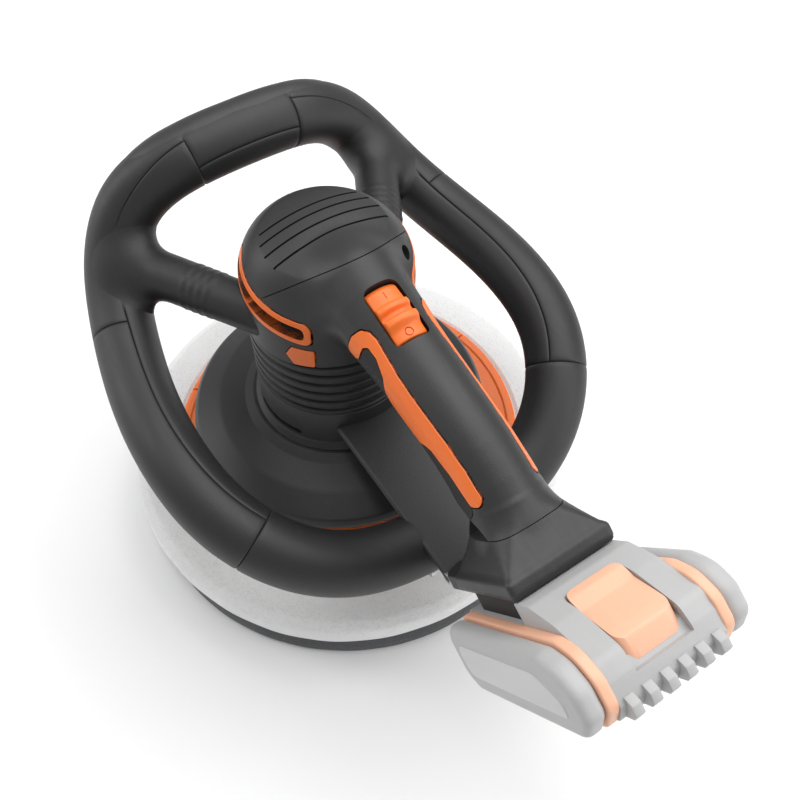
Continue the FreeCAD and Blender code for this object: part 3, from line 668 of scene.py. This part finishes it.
# The rear handle: its middle line, and its radius at eight distances back from the motor.
GRIP_LINE = spline([(28, 0, 197), (60, 0, 191.5), (100, 0, 185.5), (128, 0, 178.5), (147, 0, 166.7)])
GRIP_BACK = [28, 44, 57, 74, 100, 124, 140, 147]
GRIP_RADII = np.interp(GRIP_LINE[:, 0], GRIP_BACK, [21, 20, 19, 17.8, 17.2, 17.2, 17.8, 18.4])
DOCK_ANGLE = math.radians(58)
DOCK_ORIGIN = np.array([179.0, 0.0, 175.0])
DOCK_X = np.array([math.cos(DOCK_ANGLE), 0, math.sin(DOCK_ANGLE)])
DOCK_Z = np.array([-math.sin(DOCK_ANGLE), 0, math.cos(DOCK_ANGLE)])


def in_dock(points):
    away = points - DOCK_ORIGIN
    return np.stack([away @ DOCK_X, away[:, 1], away @ DOCK_Z], 1)


def from_dock(u, v, w):
    """A side outline in the dock's frame: u along the slide, v towards the tool, w across."""
    return tuple(DOCK_ORIGIN + DOCK_X * u + DOCK_Z * v + np.array([0, w, 0]))


def onto_dock(u, v, w):
    """A plan outline in the dock's frame: u along the slide, v across, w towards the tool."""
    return from_dock(u, w, v)


def dome_field(points):
    across = np.hypot(points[:, 0], points[:, 1]) - (TOWER_RADIUS - DOME_ROUND)
    up = points[:, 2] - (DOME_TOP - DOME_ROUND)
    outside = np.hypot(np.maximum(across, 0), np.maximum(up, 0))
    shoulder = outside + np.minimum(np.maximum(across, up), 0) - DOME_ROUND
    crown = np.linalg.norm(points - np.array([0, 0, DOME_TOP - CROWN_RADIUS]), axis=1) - CROWN_RADIUS
    return np.maximum(shoulder, crown)


def housing_field(points):
    return melt(dome_field(points), tube_field(points, GRIP_LINE, GRIP_RADII), 9)


RIM_HALF = 24.5
RIM_CORNER = 13
FLARE_TOP = 30
FLARE_HEIGHT = 23
ARM_HALF = 22
ARM_TOP = 110.8


def foot_field(points):
    """The foot, which widens towards the battery, and the lower arm melted into it."""
    local = in_dock(points)
    rise = np.clip((FLARE_TOP - local[:, 2]) / FLARE_HEIGHT, 0, 1)
    rear = -7.0 + 6.8 * rise ** 1.4
    fore = -40 - 16 * rise ** 1.4
    half = 15.8 + 8.6 * rise ** 1.3
    rounding = 1.2 + 14 * (1 - rise) ** 1.1
    beyond = np.abs(local[:, 0] - (rear + fore) / 2) - (rear - fore) / 2
    across = np.stack([beyond + rounding, np.abs(local[:, 1]) - half + rounding], 1)
    flare = np.linalg.norm(np.maximum(across, 0), axis=1) + np.minimum(across.max(1), 0) - rounding
    flare = np.maximum(flare * 0.8, np.maximum(3 - local[:, 2], local[:, 2] - FLARE_TOP - 1))
    rim = block_field(local, (-78, -RIM_HALF, 0), (0, RIM_HALF, 7), 0.8)
    past_u = np.maximum(RIM_CORNER - 78 - local[:, 0], 0)
    past_v = np.maximum(np.abs(local[:, 1]) - RIM_HALF + RIM_CORNER, 0)
    rim = np.maximum(rim, np.hypot(past_u, past_v) - RIM_CORNER)
    draft = np.abs(points[:, 1]) - ARM_HALF + np.maximum(108 - points[:, 2], 0) * 0.5
    arm = block_field(points, (36, -ARM_HALF, 88), (137, ARM_HALF, ARM_TOP), 1.8)
    arm = np.maximum(arm, draft * 0.9)
    body = melt(flare, tube_field(points, GRIP_LINE, GRIP_RADII), 3)
    return melt(melt(body, arm, 15), rim, 3)


def whole_field(points):
    near_foot = points[:, 0] > 95
    value = housing_field(points)
    if near_foot.any():
        value[near_foot] = np.minimum(value[near_foot], foot_field(points[near_foot]))
    return value


SEAM_POINT = (155.5, 0, 178.6)
SEAM_WAY = (0.78, 0, -0.62)
BELLY = [(96, 165.0), (100, 164.8), (118, 161.7), (130, 158.9), (139.8, 159.0)]
DOME_SEAM_POINT = (17.9, 0, 203.9)
DOME_SEAM_WAY = (-1.05, 0, 1.0)
LOWER_EDGE = (0, 0, 156.2)
LOWER_EDGE_WAY = (0.12, 0, -1)


def grip_place(u, v, w):
    """u along the switch window, v across, w up from the handle's middle line."""
    along = np.array([0.985, 0, -0.172])
    up = np.array([0.172, 0, 0.985])
    return tuple(np.array([44.0, 0, 194.3]) + along * u + np.array([0, v, 0]) + up * w)


def on_grip(distance, angle):
    """A point of the side outline: distance along the handle, angle from its top."""
    lengths = np.concatenate([[0], np.cumsum(np.linalg.norm(np.diff(GRIP_LINE, axis=0), axis=1))])
    heights = GRIP_LINE[:, 2]
    x, z, radius = (np.interp(distance, lengths, row) for row in (GRIP_LINE[:, 0], heights, GRIP_RADII))
    slope = np.interp(distance + 1, lengths, heights) - np.interp(distance - 1, lengths, heights)
    tilt = math.atan2(slope, 2)
    up = radius * math.cos(math.radians(angle))
    return (x - up * math.sin(tilt), z + up * math.cos(tilt))


def on_tower(outline, radius):
    """A side outline from points of (angle about the tower, height, own corner radius)."""
    unrolled = [(TOWER_RADIUS * math.radians(point[0]), *point[1:]) for point in outline]
    rounded = soften(unrolled, radius, 5)
    return [(TOWER_RADIUS * math.cos(along / TOWER_RADIUS), height) for along, height in rounded]


def oval(first, last, half):
    """The side vent's outline: a band of even height that climbs gently round the tower."""
    turns = np.linspace(first, last, 7)
    heights = 182.5 + (np.abs(turns) - 44) * 0.098
    ends = np.array([half, 0, 0, 0, 0, 0, half]) * 0.95
    upper = list(zip(turns, heights + half, ends))
    lower = list(zip(turns, heights - half, ends))
    return on_tower(upper + lower[::-1], 0)


TRIM_SHAPE = [
    (31.8, 90), (29, 101), (24.9, 101), (24.3, 89), (24.4, 69), (26, 53), (29.5, 45), (34.6, 43), (43, 47),
    (52, 50.5), (62, 52), (74, 51.5), (86, 49.5), (98, 47.5), (109.7, 46), (112.5, 54), (110.5, 67), (96, 74),
    (84, 80), (80.5, 86), (76.7, 99), (66, 104), (56, 101), (51.6, 92), (47.5, 72), (40, 60), (33.8, 59),
    (31.6, 67),
]
PANEL_SHAPE = [
    (31.2, 93), (31.0, 67), (33.6, 57.5), (40.5, 58.5), (48.2, 71), (52.3, 91), (56.8, 100), (66, 103),
    (76.0, 98), (79.8, 85.5), (84, 79), (96, 73), (110.5, 66), (114, 72), (115, 82), (115, 100),
]
BADGE_SHAPE = [(-59.5, 166), (-55, 172.2), (-40, 172.0), (-40.5, 160.4), (-54.5, 159.8)]
CROWN_SLOTS = ((-13.4, 25.5), (-7.3, 28.6), (-0.4, 30.0), (7.2, 29.6))
INLAY_GAP = 0.7
INLAY_PROUD = 0.25


def make_housing():
    """The dome and rear handle from one surface, parted into cap and shell, with inlaid trims."""
    whole = skin("housing", whole_field, (-45, -46, 146), (165, 46, 218), 1.15)
    whole = halved(whole, SEAM_POINT, SEAM_WAY)
    whole = halved(whole, LOWER_EDGE, LOWER_EDGE_WAY)
    whole = carve(whole, prism("web", BELLY + [(150, 140), (96, 140)], -40, 40, from_side))
    proud = copied(whole, "proud", INLAY_PROUD)

    trim = soften([on_grip(*point) for point in TRIM_SHAPE], 2.0, 4)
    vent_outer = oval(-41, -125, 6.9)
    vent_inner = oval(-45, -121, 4.1)
    badge = on_tower(BADGE_SHAPE, 0.8)
    panel = [on_grip(*point) for point in PANEL_SHAPE]
    panel = soften(panel + [(panel[-1][0] - 8, 140), (panel[0][0], 140)], 2.0, 4)
    fences, frames, trims, badges, pockets = [], [], [], [], []
    for side in (-1, 1):
        far, near = side * 60, side * 11
        fences.append(fence("gap", trim, INLAY_GAP, near, far, from_side))
        fences.append(fence("gap", vent_outer, INLAY_GAP, side * 20, far, from_side))
        fences.append(fence("gap", badge, INLAY_GAP - 0.1, side * 20, far, from_side))
        trims.append(prism("trim", trim, near, far, from_side))
        frames.append(prism("frame", vent_outer, side * 22, far, from_side))
        badges.append(prism("badge", badge, side * 22, far, from_side))
        pockets.append(prism("pocket", vent_inner, side * 18, far, from_side))
    shell = carve(whole, joined(*fences))
    under = prism("grip_underside_panel", grown(panel, -INLAY_GAP / 2), -30, 30, from_side)
    under = boolean(under, "INTERSECT", copied(shell, "shell"))
    shell = carve(shell, prism("panel", panel, -30, 30, from_side))
    done(under, UNDER, "housing", ["grip_underside"])
    window = soften([(-2.5, -8.6, 5), (27.0, -8.6, 3.5), (27.0, 8.6, 3.5), (-2.5, 8.6, 5)], 4, 6)
    cutters = [copied(pocket, "hole") for pocket in pockets]
    cutters.append(prism("window", window, 9, 30, grip_place))
    cutters.append(prism("boss", circle(3.6), -4, 6, boss_place))
    shell = carve(shell, joined(*cutters))
    cap = copied(shell, "dome_cap_shell")
    cap = halved(cap, DOME_SEAM_POINT, [-value for value in DOME_SEAM_WAY])
    back = halved(shell, np.array(DOME_SEAM_POINT) + np.array([0.3, 0, -0.3]), DOME_SEAM_WAY)
    carve(cap, joined(*(crown_slot(middle, half) for middle, half in CROWN_SLOTS)))
    done(cap, BLACK, "housing", ["dome_cap"], sharp=28)
    back.name = "housing_shell"
    done(back, BLACK, "housing", ["upper_housing"], sharp=28)

    trim_piece = boolean(joined(*trims), "INTERSECT", copied(proud, "proud"))
    trim_piece.name = "orange_side_trims"
    done(trim_piece, ORANGE, "housing", ["side_trims"])
    frame_piece = boolean(joined(*frames), "INTERSECT", copied(proud, "proud"))
    frame_piece = carve(frame_piece, joined(*pockets))
    frame_piece.name = "orange_vent_frames"
    done(frame_piece, ORANGE, "housing", ["vent_frames"])
    badge_piece = boolean(joined(*badges), "INTERSECT", proud)
    badge_piece.name = "orange_badges"
    done(badge_piece, ORANGE, "housing", ["badges"])
    make_vent_inside()


def circle(radius, steps=32):
    turns = [2 * math.pi * k / steps for k in range(steps)]
    return [(radius * math.cos(turn), radius * math.sin(turn)) for turn in turns]


def boss_place(u, v, w):
    """The screw recess on the dome's right shoulder."""
    out = np.array([0.45, 0.60, 0.66])
    side = np.array([-0.8, 0.6, 0.0])
    up = np.cross(out, side)
    return tuple(np.array([24.2, 28.3, 198.4]) + out * w + side * u + up * v)


def crown_slot(middle, half):
    """A narrow slot across the dome's crown, as deep at its ends as in its middle."""
    def level(y):
        return DOME_TOP - (middle ** 2 + y ** 2) / (2 * CROWN_RADIUS)
    across = np.linspace(-half, half, 17)
    shape = [(y, level(y) - 3.4) for y in across] + [(half, 225), (-half, 225)]
    return prism("slot", shape, middle - 0.55, middle + 0.55, from_rear)


def make_vent_inside():
    """Louvres behind the framed side vents and the crown slots, near-black as painted shade."""
    inside = lathe("vent_core", [(20, 172), (35, 172), (35, 190), (33, 198), (20, 204)])
    rings = [inside]
    for height in (180, 184, 188, 192):
        outline = soften([(34, height), (38.5, height - 0.5), (38.5, height + 0.6), (34, height + 1.2)], 0.4, 2)
        rings.append(lathe("louvre", [tuple(point) for point in outline], segments=96))
    done(joined(*rings), PAINTED_SHADE_BLACK, "housing")


def make_foot():
    """The arm and foot, cut back where the tower and the handle are, and the block in the foot."""
    thing = skin("arm_and_foot", foot_field, (30, -30, 78), (188, 30, 192), 1.2)
    way, along = np.array(SEAM_WAY), np.array([-SEAM_WAY[2], 0, SEAM_WAY[0]])
    edge = [np.array(SEAM_POINT) + 0.35 * way + along * reach for reach in (-24.6, 60)]
    region = [(x, z - 0.3) for x, z in BELLY[:-1]] + [(point[0], point[2]) for point in edge] + [(96, 240)]
    carve(thing, prism("handle_space", region, -40, 40, from_side))
    tower = prism("tower", circle(TOWER_RADIUS + 0.4, 96), 60, 160, from_top)
    carve(thing, tower)
    done(thing, BLACK, "housing", ["lower_arm", "battery_foot"])
    shape = soften([(-51, -22), (-4, -22), (-4, 22), (-51, 22)], 2, 4)
    block = bevelled(prism("dock_block", shape, -11.4, -0.2, onto_dock), 0.6, 2)
    # The block fills the gap between pack and foot; its near-black is painted shade.
    done(block, PAINTED_SHADE_BLACK, "housing", ["dock_rail"])


def make_switch():
    """The slider: two thumb ridges between two flat ends."""
    half = 7.6
    profile = [
        (-1.6, 10), (-1.6, 17.2, 1), (0.5, 18.6, 2), (7.6, 18.7, 1.2), (8.6, 21.2, 1.4), (11.2, 21.5, 1.2),
        (12.2, 18.9, 1), (14.4, 18.9, 1), (15.4, 21.7, 1.4), (18.2, 21.4, 1.5), (20.0, 17.6, 3),
        (25.6, 17.1, 1.2), (26.0, 10),
    ]
    outline = soften(profile, 0.6, 4)

    def place(u, v, w):
        crown = 0.035 if v > 12 else 0
        return grip_place(u, w, v - crown * w * w)

    count = len(outline)
    rows = np.linspace(-half, half, 17)
    vertices = [place(u, v, w) for w in rows for u, v in outline]
    faces = []
    for row in range(len(rows) - 1):
        here, ahead = row * count, (row + 1) * count
        for index in range(count):
            after = (index + 1) % count
            faces.append((here + index, here + after, ahead + after, ahead + index))
    faces += [tuple(range(count)), tuple(range((len(rows) - 1) * count, len(rows) * count))]
    slider = outward(make("switch_slider_cap", vertices, faces))
    slider = bevelled(slider, 0.5, 2, 50)
    marks = [bar_mark(3.6), ring_mark(22.6)]
    carve(slider, joined(*marks))
    done(slider, ORANGE, "switch", ["switch_slider"])
    # The window's floor, near-black as painted shade under the slider.
    floor = prism("window_floor", [(-4, -9.5), (31, -9.5), (31, 9.5), (-4, 9.5)], 8, 9.4, grip_place)
    done(floor, PAINTED_SHADE_BLACK, "housing")


def bar_mark(middle):
    """The 'on' bar."""
    start, end, half = middle - 1.7, middle + 1.7, 0.3
    shape = soften([(start, -half), (end, -half), (end, half), (start, half)], 0.2, 2)
    return prism("mark", shape, 18.2, 24, grip_place)


def ring_mark(middle):
    """The 'off' ring."""
    shape = [(middle + u, v) for u, v in circle(1.5, 28)]
    return fence("mark", shape, 0.5, 16.5, 24, grip_place)


# ---------------------------------------------------------------- loop handle

LOOP_HALF = [
    (-84, 18, 204), (-86, 42, 199.5), (-91, 62, 184), (-83, 77, 163), (-66, 86, 149), (-36, 95, 141),
    (-2, 101, 139), (32, 102, 137), (62, 97, 130), (88, 80, 116), (103, 54, 102), (108, 22, 95),
]
LOOP_ROUTE = np.array(LOOP_HALF + [(x, -y, z) for x, y, z in reversed(LOOP_HALF)], float)
LOOP_RADIUS = 15.7
LOOP_WALL = 3.0
SEAM_DROP = 0.7


def loop_at(where):
    """A point of the loop's smooth middle line. Whole numbers lie by the route's own points."""
    first = math.floor(where)
    t = where - first
    weights = ((1 - t) ** 3, 3 * t ** 3 - 6 * t ** 2 + 4, -3 * t ** 3 + 3 * t ** 2 + 3 * t + 1, t ** 3)
    count = len(LOOP_ROUTE)
    near = [LOOP_ROUTE[(first + offset) % count] for offset in (-1, 0, 1, 2)]
    return sum(weight * point for weight, point in zip(weights, near)) / 6


def loop_axes(where):
    """The middle point, the way out of the loop and the way up, square to the line."""
    here = loop_at(where)
    way = loop_at(where + 0.02) - loop_at(where - 0.02)
    way /= np.linalg.norm(way)
    out = np.array([here[0] + 5.0, here[1], 0.0])
    out -= way * (out @ way)
    out /= np.linalg.norm(out)
    up = np.cross(way, out)
    return here, out, up * (1 if up[2] > 0 or abs(up[2]) < 1e-6 else -1)


def edge_steps(low, high, drop, step):
    """Stations from low to high, with two close ones at each end for a rounded edge."""
    inner = np.linspace(low + drop, high - drop, max(2, int((high - low) / step)))
    return np.concatenate([[low, low + drop * 0.35], inner, [high - drop * 0.35, high]])


def edge_drop(index, count):
    """How much a row is let down beside a seam: all at the end row, a third at the next one."""
    inside = min(index, count - 1 - index)
    return (1, 0.35)[inside] if inside < 2 else 0


def loop_shell(name, start, end, low_angle, high_angle):
    """A shell of the loop between two stations and two angles, 0 outwards and 90 up."""
    stations = edge_steps(start, end, 0.03, 0.07)
    angles = edge_steps(low_angle, high_angle, 3.0, 5.0)
    around_edges = high_angle - low_angle < 359
    vertices = []
    for layer in (0, 1):
        for i, station in enumerate(stations):
            here, out, up = loop_axes(station)
            end_drop = edge_drop(i, len(stations))
            for j, angle in enumerate(angles):
                side_drop = edge_drop(j, len(angles)) if around_edges else 0
                radius = LOOP_RADIUS - SEAM_DROP * max(end_drop, side_drop)
                if layer:
                    radius = LOOP_RADIUS - LOOP_WALL
                turn = math.radians(angle)
                vertices.append(here + (out * math.cos(turn) + up * math.sin(turn)) * radius)
    rows, columns = len(stations), len(angles)

    def number(layer, i, j):
        return layer * rows * columns + i * columns + j

    faces = []
    for i in range(rows - 1):
        for j in range(columns - 1):
            square = ((i, j), (i + 1, j), (i + 1, j + 1), (i, j + 1))
            for layer in (0, 1):
                faces.append(tuple(number(layer, *spot) for spot in square))
        for j in (0, columns - 1) if around_edges else ():
            faces.append((number(0, i, j), number(0, i + 1, j), number(1, i + 1, j), number(1, i, j)))
    for j in range(columns - 1):
        for i in (0, rows - 1):
            faces.append((number(0, i, j), number(0, i, j + 1), number(1, i, j + 1), number(1, i, j)))
    return outward(make(name, vertices, faces))


FRONT_SEAM = 0.36
FORE_SEAM = 4.6
AFT_SEAM = 8.5
TOP_SEAM = 108
PANEL_SEAM = 163
UNDER_SEAM = -96


def make_loop():
    """Outer grips and inner shells round the tube, with open seams between them."""
    count = len(LOOP_ROUTE)
    panel = loop_shell("front_grip_panel", -1 - FRONT_SEAM, FRONT_SEAM, UNDER_SEAM, PANEL_SEAM)
    done(panel, SOFT, "housing", ["loop_front_grip"], 50)
    stretches = (("corner", FRONT_SEAM, FORE_SEAM), ("side", FORE_SEAM, AFT_SEAM))
    for side in ("right", "left"):
        for word, start, end in stretches:
            if side == "left":
                start, end = count - 1 - end, count - 1 - start
            grip = loop_shell(f"{word}_grip_{side}", start, end, UNDER_SEAM, TOP_SEAM)
            done(grip, SOFT, "housing", [f"loop_{word}_grip_{side}"], 50)
        start, end = FRONT_SEAM, AFT_SEAM
        if side == "left":
            start, end = count - 1 - end, count - 1 - start
        inner = loop_shell(f"inner_shell_{side}", start, end, TOP_SEAM, 360 + UNDER_SEAM)
        if side == "right":
            front = loop_shell("front", -1 - FRONT_SEAM, FRONT_SEAM, PANEL_SEAM, 360 + UNDER_SEAM)
            inner = joined(inner, front)
        done(inner, SOFT, "housing", [f"loop_inner_shell_{side}"], 50)
    link = loop_shell("rear_link", AFT_SEAM, count - 1 - AFT_SEAM, -180, 180)
    crest = [(70, -20.5), (150, -20.5), (150, 20.5), (70, 20.5)]
    carve(link, prism("crest", crest, ARM_TOP - 3, 130, from_top))
    done(link, SOFT, "housing", ["loop_links"], 50)


SPOKE_STATION = 3.05
SPOKE_END = (8.0, 27.0, 169.0)
SPOKE_RIDGES = (35, 39.5, 44, 48.5)


def spoke_field(points):
    """The right strut, melted into the loop and kept within reach of its own middle line."""
    joint, end = loop_at(SPOKE_STATION), np.array(SPOKE_END)
    start = joint + (end - joint) * 0.13
    way = end - start
    length = float(np.linalg.norm(way))
    share = np.clip((points - start) @ way / length ** 2, 0, 1)
    away = np.linalg.norm(points - start - share[:, None] * way, axis=1)
    station = share * length
    ridges = sum(0.4 * np.exp(-((station - middle) / 0.9) ** 2) for middle in SPOKE_RIDGES)
    bar = away - 11.8 + 0.8 * share - ridges
    line = np.array([loop_at(SPOKE_STATION + step) for step in np.arange(-1.2, 1.21, 0.2)])
    loop = tube_field(points, line, [LOOP_RADIUS - 0.5] * len(line))
    return np.maximum(melt(bar, loop, 15), away - 33)


def make_spokes():
    """The struts between the loop and the tower, spread where they meet the loop."""
    right = skin("spoke_right", spoke_field, (-118, 12, 120), (24, 112, 206), 1.5)
    left = bpy.data.objects.new("spoke_left", right.data.copy())
    bpy.context.scene.collection.objects.link(left)
    for vertex in left.data.vertices:
        vertex.co.y = -vertex.co.y
    left.data.flip_normals()
    done(right, SOFT, "housing", ["spokes"], sharp=60)
    done(left, SOFT, "housing", sharp=60)


# ---------------------------------------------------------------- battery

def make_battery():
    """The pack: a deck with teeth between two pods, stripes and labels beside it, and the release button."""
    deck = soften([
        (-65, -36, 4), (-65, -14, 3), (-61, -9.8, 3), (-3.5, -9.8, 0.3), (-3.5, -0.6, 0.5), (9, -0.8, 8),
        (24, -6.5, 14), (42.5, -18.6, 7), (44.6, -26, 5), (44.6, -35.5, 3), (38.5, -41.6, 3), (-57, -41.6, 3),
    ], 3, 6)
    middle = bevelled(prism("battery_deck", deck, -24.4, 24.4, from_dock), 0.9, 3)
    way = prism("rail_way", [(-70, -9.9), (-5.4, -9.9), (-5.4, -16.5), (-70, -16.5)], -13.6, 13.6, from_dock)
    carve(middle, way)
    seat = soften([(14.6, -2), (15.0, -8.5), (40.6, -23.5), (42.0, -28), (60, -28), (60, 10), (14.6, 10)], 1, 3)
    carve(middle, plan_cut(prism("button_seat", seat, -20, 20, from_dock), 13.1, 13.6, 60))
    tooth = soften([(37, -41.0), (41, -32), (45.2, -32.5), (47.8, -35.5), (47.4, -39.5), (44.5, -41.3)], 0.8, 3)
    teeth = [bevelled(prism("tooth", tooth, y - 2.0, y + 2.0, from_dock), 0.6, 2) for y in range(-20, 21, 8)]
    done(joined(middle, *teeth), PALE, "battery", ["pack_cover"])

    pod = [
        (-65.2, -34, 8), (-65.2, -17, 8), (-60, -10.2, 8), (27.5, -10.2, 14), (38.2, -14.0, 14),
        (44.8, -22.5, 9), (44.8, -34, 7), (36, -41.6, 7), (-57, -41.6, 8),
    ]
    outline = soften(pod, 5, 8)
    pods, stripes, plates = [], [], []
    for side in (-1, 1):
        pods.append(bevelled(prism("pod", outline, side * 28.6, side * 38, from_dock), 3.6, 5))
        stripe = prism("stripe", grown(outline, 0.6), side * 24.2, side * 28.9, from_dock)
        stripes.append(bevelled(stripe, 0.9, 3))
        label = soften([(-57, -33.5, 9), (-57, -18, 9), (20, -18, 12), (33, -27, 10), (33, -33.5, 6)], 6, 7)
        plates.append(bevelled(prism("label", label, side * 37.4, side * 38.35, from_dock), 0.35, 2))
    done(joined(*pods), PALE, "battery", ["pack_tub"])
    done(joined(*stripes), PEACH, "battery", ["pack_trims"])
    done(joined(*plates), LABEL, "battery", ["pack_plates"])
    cap = soften([
        (14, -9.5, 0.6), (14, -1.4, 1.2), (19.0, -3.6, 3), (24, -8.4, 6), (36.5, -14.6, 5), (41.6, -17.6, 2.4),
        (41.8, -26.4, 1.2), (39, -27.4, 0.8),
    ], 1, 5)
    button = plan_cut(prism("release_button_cap", cap, -20, 20, from_dock), 12.6, 15.2, 41.6)
    done(bevelled(button, 0.9, 3, 40), PEACH, "release_button", ["release_button"])


def plan_cut(thing, half, first, last):
    """Keep the part of a piece inside a round-cornered rectangle, seen down onto the dock."""
    shape = soften([(first, -half), (last, -half), (last, half), (first, half)], 5.0, 7)
    return boolean(thing, "INTERSECT", prism("plan", shape, -60, 30, onto_dock))


# ---------------------------------------------------------------- scene

def finish_cad_nodes():
    """Every inner node that stays as it is gets the finish of its material slot."""
    slots = {row["node"]: row["material_slot"] for row in frame["record"]["subparts"]}
    for node, thing in frame["nodes"].items():
        for index in range(len(thing.data.materials)):
            thing.data.materials[index] = CAD_FINISHES[slots[node]]
        if not thing.data.materials:
            thing.data.materials.append(CAD_FINISHES[slots[node]])


def area_light(name, spot, target, size, power):
    light = bpy.data.lights.new(name, "AREA")
    light.shape = "RECTANGLE"
    light.size, light.size_y = size
    light.energy = power
    thing = bpy.data.objects.new(name, light)
    thing.location = spot
    thing.rotation_euler = (Vector(target) - Vector(spot)).to_track_quat("-Z", "Y").to_euler()
    bpy.context.scene.collection.objects.link(thing)


AZIMUTH = math.radians(56.63)
ELEVATION = math.radians(55.37)
TARGET = Vector((0.01884, 0.02858, 0.07379))
DISTANCE = 0.5198
LENS = 41.13


def make_camera():
    camera = bpy.data.cameras.new("camera")
    camera.lens = LENS
    camera.sensor_width = 36
    camera.clip_start = 0.01
    thing = bpy.data.objects.new("camera", camera)
    flat = math.cos(ELEVATION)
    back = Vector((flat * math.sin(AZIMUTH), -flat * math.cos(AZIMUTH), math.sin(ELEVATION)))
    thing.location = TARGET + back * DISTANCE
    thing.rotation_euler = (math.pi / 2 - ELEVATION, 0, AZIMUTH)
    bpy.context.scene.collection.objects.link(thing)
    bpy.context.scene.camera = thing


def make_studio():
    finish = Finish("pale_floor", Roughness=0.85)
    cloud = finish.noise(3.0)
    finish.set(Base_Color=finish.mixed(cloud * 0.5, colour(0.93, 0.93, 0.93), colour(0.90, 0.90, 0.905)))
    reach, height = 6000, -0.3
    spots = [(-reach, -reach, height), (reach, -reach, height), (reach, reach, height), (-reach, reach, height)]
    floor = make("floor", spots, [(0, 1, 2, 3)])
    floor.data.materials.append(finish.material)
    world = bpy.data.worlds.new("studio")
    world.use_nodes = True
    background = world.node_tree.nodes["Background"]
    background.inputs["Color"].default_value = (1, 1, 1, 1)
    background.inputs["Strength"].default_value = 0.48
    bpy.context.scene.world = world
    bpy.context.scene.view_settings.view_transform = "Standard"
    area_light("overhead", (-0.1, 0.5, 1.5), (0, 0, 0.1), (1.6, 1.6), 22)
    area_light("left_strip", (-0.9, -0.9, 0.9), (0, 0, 0.15), (0.5, 1.4), 7)
    area_light("right_strip", (1.0, 0.9, 0.8), (0, 0, 0.15), (0.5, 1.4), 7)


finish_cad_nodes()
make_pad()
make_plate()
make_cover()
make_neck()
make_housing()
make_foot()
make_switch()
make_loop()
make_spokes()
make_battery()
make_camera()
make_studio()
